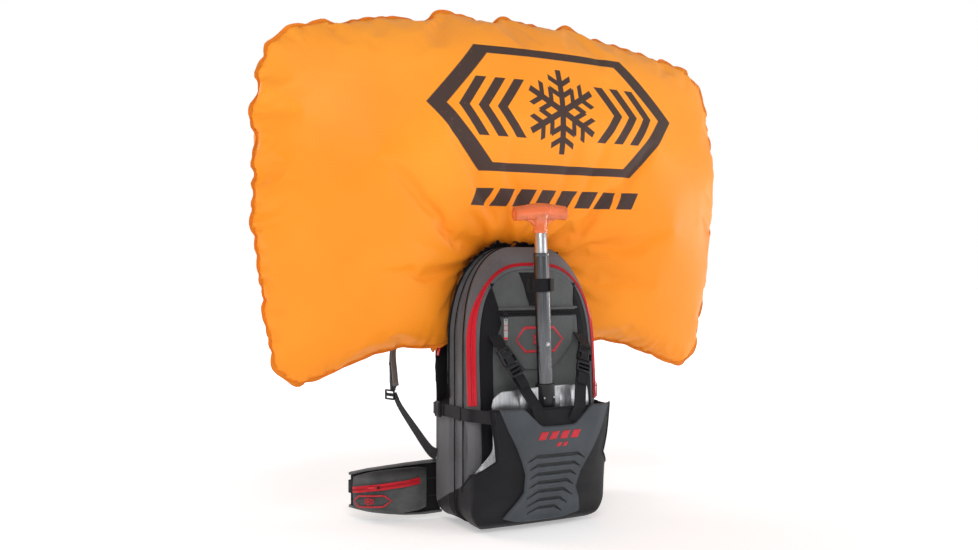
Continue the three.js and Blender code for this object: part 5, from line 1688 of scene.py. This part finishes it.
def padded_sheet(line, half, out, thick, columns=41, puff=0.0):
    """A closed padded strip that stands on a line: rows round its section."""
    along = unit(np.gradient(line, axis=0))
    side = unit(np.cross(along, (0, 0, 1))) * out
    rings = []
    a = np.linspace(0, 2 * math.pi, columns, endpoint=False)
    ca, sa = np.cos(a), np.sin(a)
    zz = np.sign(sa) * np.abs(sa) ** 0.55
    yy = np.sign(ca) * np.abs(ca) ** 0.32
    for k, p in enumerate(line):
        t = k / (len(line) - 1)
        ends = min(1, math.sqrt(max(0.02, 1 - max(0, 1 - min(t, 1 - t) / 0.03) ** 2)))
        push = yy * thick / 2 * ends * (1 + puff * np.cos(zz * math.pi / 2))
        rise = zz * half[k] * (0.92 + 0.08 * ends)
        rings.append(p + side[k] * push[:, None] + np.outer(rise, (0, 0, 1.0)))
    return np.array(rings), side


def make_wing(side, sign):
    line, half = belt_line(sign)
    rings, out = padded_sheet(line, half - 0.002, -sign, 0.0130, puff=0.05)
    shape = Shape()
    shape.grid(rings, close=True, caps=(True, True))
    made = shape.piece(f"wing_pad_{side}", f"wing_{side}", [black_fabric], "black_fabric",
                       [f"hip_belt_{side}"])
    settle(made, shrink=0.0012, cap=0.0014)
    make_wing_trim(side, line, half, out)
    make_waist_clip(side, sign)


def make_wing_trim(side, line, half, out):
    """The tape along the wing's two long edges, and its rows of stitches."""
    bind, rows = Shape(), Shape()
    for end in (-1, 1):
        edge = line + np.outer(half - 0.003, (0, 0, end))
        bind.sweep(edge, round_section(0.0150, 0.0060), out, soft=0.001)
        rows.stitches(edge[2:-2] + out[2:-2] * 0.0073 - (0, 0, end * 0.004), np.array(out[10]))
    for height in (-0.018, 0.018):
        rows.stitches(line[3:-6] - out[3:-6] * 0.0068 + (0, 0, height), -np.array(out[10]))
    rows.piece(f"wing_stitching_{side}", f"wing_{side}", pale_thread, "grey_fabric")
    bind.piece(f"wing_binding_{side}", f"wing_{side}", binding, "black_fabric")


def make_waist_clip(side, sign):
    """Half of the waist buckle on its web."""
    offsets = [(143, 62), (161, 84), (160, 104), (128, 112), (100, 110)]
    pts = np.array([[sign * (128 + x), -10 + y, -55] for x, y in offsets]) / 1000
    low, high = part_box(f"waist_clip_{side}")
    web = Shape()
    web.sweep(spline(pts, 0.003), strap_section(0.025, 0.0019), (0, 0, 1))
    tip = pts[-1]
    x_end = low.x if sign > 0 else high.x
    centre = Vector((x_end + sign * 0.024, tip[1], tip[2]))
    flat = Matrix.Translation(centre) @ Matrix.Rotation(math.pi / 2, 4, "X")
    body = [(-24, -15), (-18, -18), (8, -18), (22, -15), (24, -12), (24, 12), (22, 15), (8, 18), (-18, 18),
            (-24, 15)]
    holes = [rounded(0.006, 0.028, 0.002, centre=(sign * 0.017, 0)),
             rounded(0.016, 0.006, 0.002, centre=(-sign * 0.006, 0.011)),
             rounded(0.016, 0.006, 0.002, centre=(-sign * 0.006, -0.011))]
    body = body if sign > 0 else body[::-1]
    web.plate([[(sign * x / 1000, y / 1000) for x, y in body]] + holes, 0.0098, flat, 0.0016, mat=1)
    for k in range(4):
        rib = Matrix.Translation(centre) @ Matrix.Translation((-sign * (0.004 + 0.003 * k), 0, 0))
        web.block((0.0014, 0.0102, 0.010), rib, 0.0004, mat=1)
    web.piece(f"waist_buckle_{side}", f"wing_{side}", [webbing, plastic], "webbing", [f"waist_clip_{side}"])


POCKET_STATIONS = [(0.9, 40, 8), (1.2, 46, 20), (2, 47, 28), (3, 44, 28), (3.9, 38, 22), (4.5, 33, 10)]
POCKET_MIDDLE = 2.9  # the station that the hip pocket's zip and mark are placed from


def hip_pocket_point(s):
    x, y, _ = [np.interp(s, range(len(BELT)), [b[k] for b in BELT]) for k in range(3)]
    a, b = [[np.interp(q, range(len(BELT)), [st[k] for st in BELT]) for k in range(2)]
            for q in (s - 0.25, s + 0.25)]
    along = np.array((-(b[0] - a[0]), b[1] - a[1], 0.0))
    along /= np.linalg.norm(along)
    out = np.array((-abs(along[1]), -abs(along[0]), 0))
    return np.array([-(128 + x), -10 + y, -53.0 + 2.6 * (2.4 - s)]) / 1000, along, out


def make_hip_pocket():
    rows = []
    a = np.linspace(0, 2 * math.pi, 56, endpoint=False)
    ca, sa = np.cos(a), np.sin(a)
    stations = np.linspace(0.9, 4.5, 64)
    halves = np.interp(stations, [p[0] for p in POCKET_STATIONS], [p[1] for p in POCKET_STATIONS])
    depths = np.interp(stations, [p[0] for p in POCKET_STATIONS], [p[2] for p in POCKET_STATIONS])
    kernel = np.ones(7) / 7
    depths = np.convolve(np.pad(depths, 3, mode="edge"), kernel, "valid")
    halves = np.convolve(np.pad(halves, 3, mode="edge"), kernel, "valid")
    for s, half, deep in zip(stations, halves / 1000, depths / 1000):
        p, _, out = hip_pocket_point(s)
        z = np.sign(sa) * np.abs(sa) ** 0.62 * half
        d = 0.0104 + deep * np.clip(0.5 + 0.5 * np.sign(ca) * np.abs(ca) ** 0.55, 0, 1)
        slack = 0.5 + 0.5 * np.sin(z * 120 + s * 3.4 + 1.5 * np.sin(s * 4.0)) * np.cos(s * 3.1 + z * 40)
        d = d - np.clip(ca * 3, 0, 1) * slack * 0.0034 * smoothstep(z, 0.004, -0.012)
        rows.append(p + out * d[:, None] + np.outer(z, (0, 0, 1.0)))
    shape = Shape()
    shape.grid(np.array(rows), close=True, caps=(True, True))
    made = shape.piece("hip_pocket_cloth", "wing_left", hip_cloth(), "grey_fabric", ["hip_pocket"])
    settle(made, np.tile(ca < -0.6, len(stations)))

    def on_pocket(s, z, out_by=0.0):
        deep = np.interp(s, stations, depths / 1000)
        half = np.interp(s, stations, halves / 1000)
        sa_ = np.clip(np.abs(z) / half, 0, 0.999) ** (1 / 0.62)
        ca_ = math.sqrt(max(0.0, 1 - sa_**2))
        p, _, out = hip_pocket_point(s)
        d = 0.0104 + deep * (0.5 + 0.5 * ca_**0.55) + out_by
        return p + out * d + np.array((0, 0, z))

    stops = np.linspace(1.25, 4.35, 50)
    zip_line = np.array([on_pocket(s, 0.0115 - 0.0040 * (s - POCKET_MIDDLE), 0.0008) for s in stops])
    outward = np.array([hip_pocket_point(s)[2] for s in stops])
    tape = Shape()
    tape.sweep(zip_line, np.array(TAPE) * (0.62, 0.8), (0, 0, 1), soft=0.0006)
    coil(tape, zip_line + outward * 0.0018, np.tile([0, 0, 1.0], (50, 1)), 0.0012, 0.0022, 0.00045)
    tape.piece("hip_zip_tape", "wing_left", [red_tape, red_coil], "red_zip")

    def mark(x, z):
        s = POCKET_MIDDLE + x / 0.030
        rows = zip(np.atleast_2d(s), np.atleast_2d(z))
        return np.array([[on_pocket(q, w, 0.0007) for q, w in zip(*row)] for row in rows])

    sign = Shape()
    badge(sign, (0.012, -0.0165), 0.058, 0.026, mark, 0.17)
    made = sign.piece("hip_badge", "wing_left", red_print, "red_zip")
    thicken(made, 0.0003)
    trim = Shape()
    for z in (0.0205, 0.0025):
        trim.stitches(np.array([on_pocket(s, z - 0.0040 * (s - POCKET_MIDDLE), 0.0003)
                                for s in np.linspace(1.25, 4.3, 50)]), outward[25])
    trim.piece("hip_pocket_stitching", "wing_left", thread, "grey_fabric")

    make_hip_slider()


def make_hip_slider():
    p, along, out = hip_pocket_point(POCKET_MIDDLE)
    p = p * (1, 1, 0) + (0, 0, -0.0530)
    at = basis(Vector(p) + Vector(out) * 0.0388 + Vector((0, 0, 0.010)), (0, 0, 1), out, -along)
    tab = Shape()
    slider_body(tab, at, 0.62)
    hangs = Vector(p) + Vector(out) * 0.0398 + Vector((0, 0, 0.010)) + Vector(along) * 0.012
    lace = basis(hangs, along, out, (0, 0, 1)) @ Matrix.Rotation(math.pi / 2, 4, "X")
    tab.plate([rounded(0.020, 0.0044, 0.0018)], 0.0017, lace, 0.0005, mat=1)
    tab.piece("hip_slider_red", "hip_slider", [plastic, red_plastic], "black_plastic", ["hip_zip_slider"])


def hip_cloth():
    """Grey stretch cloth with a black upper strip, like the pocket's two parts."""
    mat = Mat("hip_cloth", PANEL, 0.6, Sheen_Weight=0.08, Specular_IOR_Level=0.18)
    uv, place = mat.uv(), mat.place()
    _, _, z = mat.axes(place)
    weave = mat.threads(uv, 0.0010, 0.0)
    tone = mat.mix(mat.span(mat.noise(place, 25, 3), 0.35, 0.7), shade(PANEL, 0.7), shade(PANEL, 1.25))
    tone = mat.mix(mat.span(weave, 0, 1, 0.3, 0), tone, shade(PANEL, 0.35))
    mat.colour(mat.mix(mat.span(z, -0.030, -0.010, 0, 0.75), tone, BLACK))
    mat.bump(weave, 0.0003)
    mat.bump(mat.noise(place, 45, 3), 0.0015, 0.5)
    return mat


pale_thread = woven("pale_thread", (0.20, 0.21, 0.21), 0.6, 0.0006)
make_wing("left", -1)
make_wing("right", 1)
make_hip_pocket()


# ---------------------------------------------------------------- the shoulder harness
STRAP_PATH = np.array([(66, -6, 374), (72, 30, 396), (90, 80, 388), (118, 122, 342), (146, 142, 284),
                       (170, 132, 222), (179, 112, 168),
                       (181, 102, 142)]) / 1000


def make_shoulder(side, sign):
    path = spline(STRAP_PATH * (sign, 1, 1), 0.005)
    n = len(path)

    def across(t):
        return np.array((1 - 0.75 * t, -sign * 1.1 * t, 0))

    foam = Shape()
    section = round_section(0.064, 0.0118, power=0.35)
    foam.sweep(path, section, across, lambda t: (1 - 0.375 * t, 1), soft=0.003)
    made = foam.piece(f"strap_foam_{side}", "pack", foam_mesh, "foam", [f"shoulder_strap_{side}"])
    settle(made, shrink=0.0012, cap=0.0014)
    along = unit(np.gradient(path, axis=0))
    a = unit(np.array([across(k / (n - 1)) for k in range(n)]))
    a = unit(a - (a * along).sum(1, keepdims=True) * along)
    up = np.cross(along, a)
    width = 0.032 * (1 - 0.375 * np.linspace(0, 1, n))
    trim, rows = Shape(), Shape()
    for end in (-1, 1):
        edge = path + a * (end * (width - 0.0014))[:, None]
        trim.sweep(edge, round_section(0.0060, 0.0122), a, soft=0.001)
        for face_side in (-1, 1):
            rows.stitches(path[1:-1] + a[1:-1] * (end * (width - 0.0060))[1:-1, None] + up[1:-1] * face_side
                          * 0.0058,
                          lambda p, u=up, f=face_side,
                          q=path: unit(np.array([u[np.argmin(((q - w) ** 2).sum(1))] * f for w in p])))
    trim.piece(f"strap_binding_{side}", "pack", binding, "black_fabric")
    rows.piece(f"strap_stitching_{side}", "pack", thread, "grey_fabric")

    facing = 1 if (up[n // 2] @ np.array((0, 1, 0.0))) > 0 else -1
    ladder = Shape()
    start, stop = int(n * 0.36), n - 3
    run = path[start:stop] + up[start:stop] * facing * 0.0066
    ladder.sweep(run, strap_section(0.020, 0.0015), a[start:stop], soft=0.0005)
    for k in range(start + 4, stop - 3, 7):
        bar = [path[k] + a[k] * reach + up[k] * facing * 0.0080 for reach in (-0.0102, 0.0102)]
        section = [(-0.0012, -0.0004), (0.0012, -0.0004), (0.0012, 0.0004), (-0.0012, 0.0004)]
        ladder.sweep(bar, section, along[k], mat=1)
    ladder.piece(f"strap_ladder_{side}", "pack", [webbing, thread], "webbing")

    end = STRAP_PATH[-1] * (sign, 1, 1)
    turn = Matrix.Rotation(sign * math.pi / 2.4, 4, "Z") @ Matrix.Rotation(math.pi / 2, 4, "X")
    at = Matrix.Translation(end + np.array((sign * 0.010, 0.002, -0.014))) @ turn
    lock = Shape()
    ladder_lock(lock, at, 0.030, 0.022)
    lock.piece(f"strap_lock_{side}", "pack", plastic, "black_plastic", [f"strap_adjuster_{side}"])
    pts = np.array([tuple(end + (0, -0.001, -0.013)), (sign * 0.177, 0.082, 0.104),
                    (sign * 0.165, 0.036, 0.062), (sign * 0.156, -0.012, 0.026),
                    (sign * 0.152, -0.038, 0.018)])
    web = Shape()
    line = spline(pts, 0.003)
    web.sweep(line, strap_section(0.0225, 0.0018), lambda t: np.array((0, 1 - t, -t)),
              lambda t: (0.9 + 0.22 * t, 1))
    for k in (len(line) - 3, len(line) - 7):
        row = [line[k] + (sign * 0.0012, 0, rise) for rise in (0.010, -0.010)]
        web.stitches(row, (sign, 0, 0), mat=1)
    web.piece(f"strap_tail_{side}", "pack", [webbing, thread], "webbing", [f"strap_web_{side}"])


def make_sternum():
    web = Shape()
    for sign in (-1, 1):
        pts = np.array([(sign * 132, 165.4, 300), (sign * 118, 169, 300), (sign * 60, 170, 294),
                        (sign * 24, 172, 292)]) / 1000
        web.sweep(spline(pts, 0.004), strap_section(0.020, 0.0016), (0, 0, 1))
    web.piece("sternum_web", "pack", webbing, "webbing", ["sternum_strap"])
    clip = Shape()
    flat = Matrix.Translation((0, 0.1736, 0.292)) @ Matrix.Rotation(math.pi / 2, 4, "X")
    body = [(-24, -10), (-20, -13), (-2, -14), (20, -13), (24, -10), (24, 10), (20, 13), (-2, 14), (-20, 13),
            (-24, 10)]
    holes = [rounded(0.004, 0.020, 0.0014, centre=(-0.0190, 0)),
             rounded(0.004, 0.020, 0.0014, centre=(0.0190, 0)),
             rounded(0.014, 0.0045, 0.0014, centre=(0.004, 0.0085)),
             rounded(0.014, 0.0045, 0.0014, centre=(0.004, -0.0085))]
    clip.plate([[(x / 1000, y / 1000) for x, y in body]] + holes, 0.0086, flat, 0.0014)
    clip.block((0.010, 0.010, 0.0092), flat @ Matrix.Translation((0.005, 0, 0)), 0.001)
    clip.piece("sternum_clip", "pack", plastic, "black_plastic", ["sternum_buckle"])


for side_name, side_sign in (("left", -1), ("right", 1)):
    make_shoulder(side_name, side_sign)
make_sternum()


# ---------------------------------------------------------------- the back
def cushion(wide, low, high, corner, y_flat, y_top, channels, bevel=0.010):
    """A pad: a rounded outline in X and Z whose face swells between its channels."""
    cz = (low + high) / 2
    centre = np.array((0, cz))
    loop = np.array(rounded(wide * 2, high - low, corner, 10, (0, cz)))
    loop = even(np.vstack([loop, loop[:1]]), 0.004)[:-1]
    profile = [(0, y_flat), (0, y_flat + 0.001), (0, y_top - bevel), (bevel * 0.15, y_top - bevel * 0.55)]
    profile += [(bevel * 0.5, y_top - bevel * 0.2), (bevel, y_top - 0.0004), (bevel * 1.8, y_top)]
    rows = []
    for depth, y in profile:
        shrink = 1 - depth / np.maximum(np.linalg.norm(loop - centre, axis=1), 1e-6)
        ring = centre + (loop - centre) * shrink[:, None]
        rows.append(np.c_[ring[:, 0], np.full(len(ring), y), ring[:, 1]])
    inner = rows[-1]
    for s in np.linspace(0.93, 0.02, 26):
        ring = inner * (s, 1, s) + (0, 0, cz * (1 - s))
        dip = channels(ring[:, 0], ring[:, 2])
        rows.append(ring - np.outer(dip, (0, 1.0, 0)))
    shape = Shape()
    shape.grid(np.array(rows), close=True, caps=(True, True))
    return shape


def sewn(pad, channels, flat):
    """Which of a pad's points are held: its flat back and its channels."""
    pts = np.array(pad.v)
    return (pts[:, 1] < flat) | (channels(pts[:, 0], pts[:, 2]) > 0.003)


def make_back():
    def rows_across(x, z):
        v = np.abs(((z + 0.02) / 0.055) % 1 - 0.5) * 2
        grooves = 0.0045 * smoothstep(v, 0.80, 1.0) * smoothstep(0.105 - np.abs(x), 0, 0.02)
        return grooves + 0.006 * np.exp(-(x / 0.013) ** 2)
    pad = cushion(0.112, 0.092, 0.366, 0.024, -0.0262, -0.0042, rows_across, 0.008)
    made = pad.piece("back_cushion", "pack", foam_mesh, "foam", ["back_pad"])
    settle(made, sewn(pad, rows_across, -0.0255))

    def lumbar_rows(x, _):
        return 0.005 * np.exp(-((np.abs(x) - 0.045) / 0.006) ** 2)
    pad = cushion(0.096, -0.075, 0.075, 0.024, -0.0262, -0.0002, lumbar_rows, 0.010)
    made = pad.piece("lumbar_cushion", "pack", foam_mesh, "foam", ["lumbar_pad"])
    settle(made, sewn(pad, lumbar_rows, -0.0255))


def make_haul_loop():
    haul = Shape()
    h = np.array([math.sin(t) for t in np.linspace(0, math.pi, 40)]) * 0.040
    x = -np.cos(np.linspace(0, math.pi, 40)) * 0.022
    loop = np.c_[x, -0.014 + 0.6 * h, 0.386 + 0.8 * h]
    loop = np.vstack([(-0.022, -0.0142, 0.368), loop[::3], (0.022, -0.0142, 0.368)])
    haul.sweep(spline(loop, 0.003), strap_section(0.020, 0.0020), (0, 0.8, -0.6))
    haul.piece("haul_web", "pack", webbing, "webbing", ["haul_loop"])


make_back()
make_haul_loop()


# ---------------------------------------------------------------- the burst channel
def make_lips():
    """The torn zip along the channel that the airbag came out of: two ragged fabric lips, and its teeth."""
    base = outline(0)
    keep = base[:, 1] > GROOVE_FOOT + 0.004
    loop = base[keep]
    outwards = unit(np.c_[np.gradient(base[:, 1]), -np.gradient(base[:, 0])])[keep]
    line = np.c_[loop[:, 0], np.zeros(len(loop)), loop[:, 1]]
    n = len(line)
    s = np.arange(n)
    shape = Shape()
    high_up = smoothstep(line[:, 2], 0.33, 0.42)
    for y, lean, seed in ((-0.0375, -0.4, 1.0), (-0.0890, 1.0, 5.0)):
        ragged = (0.5 + 0.5 * np.sin(s * 0.71 + seed)) * (0.5 + 0.5 * np.sin(s * 0.233 + 2 * seed))
        ragged = ragged + 0.35 * np.sin(s * 1.9 + seed)
        tall = 0.0030 + 0.0045 * high_up + (0.0012 + 0.0065 * high_up) * ragged
        tall *= smoothstep(s, 0, 6) * smoothstep(n - 1 - s, 0, 6)
        rows = []
        for t in np.linspace(0, 1, 6):
            push = outwards * (t * tall)[:, None]
            sunk = outwards * 0.002 * (1 - t)
            wave = 0.0020 * t * np.sin(s * 0.9 + seed)
            depth = y - lean * (0.004 + 0.012 * high_up) * t * t + wave * (0.3 + 0.7 * high_up)
            rows.append(np.c_[line[:, 0] + push[:, 0] - sunk[:, 0], depth,
                              line[:, 2] + push[:, 1] - sunk[:, 1]])
        shape.grid(np.array(rows), turn=lean < 0)
    made = shape.piece("burst_lips", "pack", black_fabric, "black_fabric", ["airbag_channel"])
    thicken(made, 0.0012)
    teeth = Shape()
    for y in (-0.0362, -0.0904):
        path = np.c_[line[4:-4, 0] + outwards[4:-4, 0] * 0.0018, np.full(n - 8, y),
                     line[4:-4, 2] + outwards[4:-4, 1] * 0.0018]
        teeth.sweep(even(path, 0.004), circle(0.0011, 6), np.array([0, 1.0, 0]))
    teeth.piece("burst_zip_teeth", "pack", plastic, "black_plastic")


def make_scrap():
    """A corner of the airbag's cloth caught at the channel's left foot, with the burst zip's red pull."""
    u, t = np.meshgrid(np.linspace(-1, 1, 25), np.linspace(0, 1, 19))
    pts = np.stack([-0.1525 - 0.010 * np.sin(t * 2.2) - 0.003 * np.sin(u * 5 + t * 3),
                    -0.046 + u * 0.013 * (1 - 0.35 * t * t),
                    0.256 - 0.026 * t + 0.003 * np.sin(u * 7)], -1)
    scrap = Shape()
    scrap.grid(pts)
    made = scrap.piece("airbag_scrap", "pack", seam_tape, "airbag_nylon")
    thicken(made, 0.0008)
    tab = Shape()
    at = Matrix.Translation((-0.1565, -0.058, 0.2300)) @ Matrix.Rotation(0.5, 4,
        "X") @ Matrix.Rotation(math.pi / 2, 4, "Y")
    loops = [rounded(0.020, 0.007, 0.0028), rounded(0.003, 0.003, 0.0012, centre=(-0.0065, 0))]
    tab.plate(loops, 0.002, at, 0.0005)
    tab.piece("burst_zip_pull", "pack", red_plastic, "red_plastic")


make_lips()
make_scrap()


# ---------------------------------------------------------------- the throat and the hard parts
def make_throat():
    low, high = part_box("airbag_throat")
    y, radius = (low.y + high.y) / 2, (high.x - low.x) / 2
    a = np.linspace(0, 2 * math.pi, 72, endpoint=False)
    rows = []
    for k, z in enumerate(np.linspace(low.z + 0.0005, high.z - 0.0005, 41)):
        pleats, puckers = 0.5 + 0.5 * np.cos(a * 18 + math.sin(k * 0.25)), 0.5 + 0.5 * math.cos(k * 0.9)
        gather = 1 - 0.030 * pleats - 0.020 * puckers
        rows.append(np.c_[radius * gather * np.cos(a), y + radius * gather * np.sin(a), np.full(72, z)])
    inner = radius - 0.0022 - 0.0012
    for z in np.linspace(high.z - 0.0005, low.z + 0.0005, 12):
        rows.append(np.c_[inner * np.cos(a), y + inner * np.sin(a), np.full(72, z)])
    shape = Shape()
    shape.grid(np.array(rows), close=True)
    shape.piece("throat_sleeve", "pack", black_fabric, "black_fabric", ["airbag_throat"])
    band = Shape()
    for z in (low.z + 0.005, high.z - 0.004):
        turns = np.linspace(0, 2 * math.pi, 73)[:-1]
        loop = [(radius * 0.995 * math.cos(t), y + radius * 0.995 * math.sin(t), z) for t in turns]
        band.sweep(loop, strap_section(0.005, 0.0012), (0, 0, 1), close=True)
    band.piece("throat_bands", "pack", red_plastic, "red_plastic")


def refinish(name, mat, bevel):
    """A hard CAD part keeps its shape and gets better materials, and softer edges."""
    node = NODES[name]
    meshes = [node] if node.type == "MESH" else [c for c in node.children_recursive if c.type == "MESH"]
    for mesh in meshes:
        mesh.data.materials.clear()
        mesh.data.materials.append(mat.data)
        for polygon in mesh.data.polygons:
            polygon.material_index = 0
        if bevel:
            edge = mesh.modifiers.new("edges", "BEVEL")
            edge.width = bevel
            edge.segments = 2
            edge.limit_method = "ANGLE"
            edge.angle_limit = math.radians(50)


HARD_PARTS = [
    ("air_cylinder", powder, 0.0012),
    ("cylinder_valve", brass_metal, 0.0006),
    ("valve_plunger", silver, 0.0003),
    ("gauge_body", dial, 0.0003),
    ("gauge_needle", red_plastic, 0.0),
    ("ejector_body", plastic, 0.0010),
    ("supply_hose", rubber, 0.0),
    ("frame_hoop", silver, 0.0006),
    ("trigger_holster", plastic, 0.0008),
    ("trigger_handle", red_plastic, 0.0006),
    ("trigger_cable", rubber, 0.0),
    ("frame_sheet", sheet_plastic, 0.0006),
]
make_throat()
for part_name, finish, edge_radius in HARD_PARTS:
    refinish(part_name, finish, edge_radius)


# ---------------------------------------------------------------- floor and finish
def make_floor():
    """Pale paper whose own glow grows with distance, so that no horizon shows."""
    paper = Mat("floor_paper", (0.9, 0.9, 0.9), 1.0, Specular_IOR_Level=0.0, Emission_Color=(1, 1, 1, 1))
    x, y, _ = paper.axes(paper.place())
    away = paper.math("SQRT", paper.math("ADD", paper.math("MULTIPLY", x, x), paper.math("MULTIPLY", y, y)))
    glow = paper.span(away, 0.7, 2.6, 0.38, 1.0)
    paper.tree.links.new(glow, paper.shader.inputs["Emission Strength"])
    paper.colour(paper.mix(paper.noise(paper.place(), 3, 2), (0.89, 0.89, 0.895), (0.92, 0.92, 0.92)))
    shape = Shape()
    shape.block((40, 40, 0.02), Matrix.Translation((0, 0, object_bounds()[0].z - 0.0105)), 0.002)
    floor = shape.piece("floor", None, paper, "gauge_face")


make_floor()
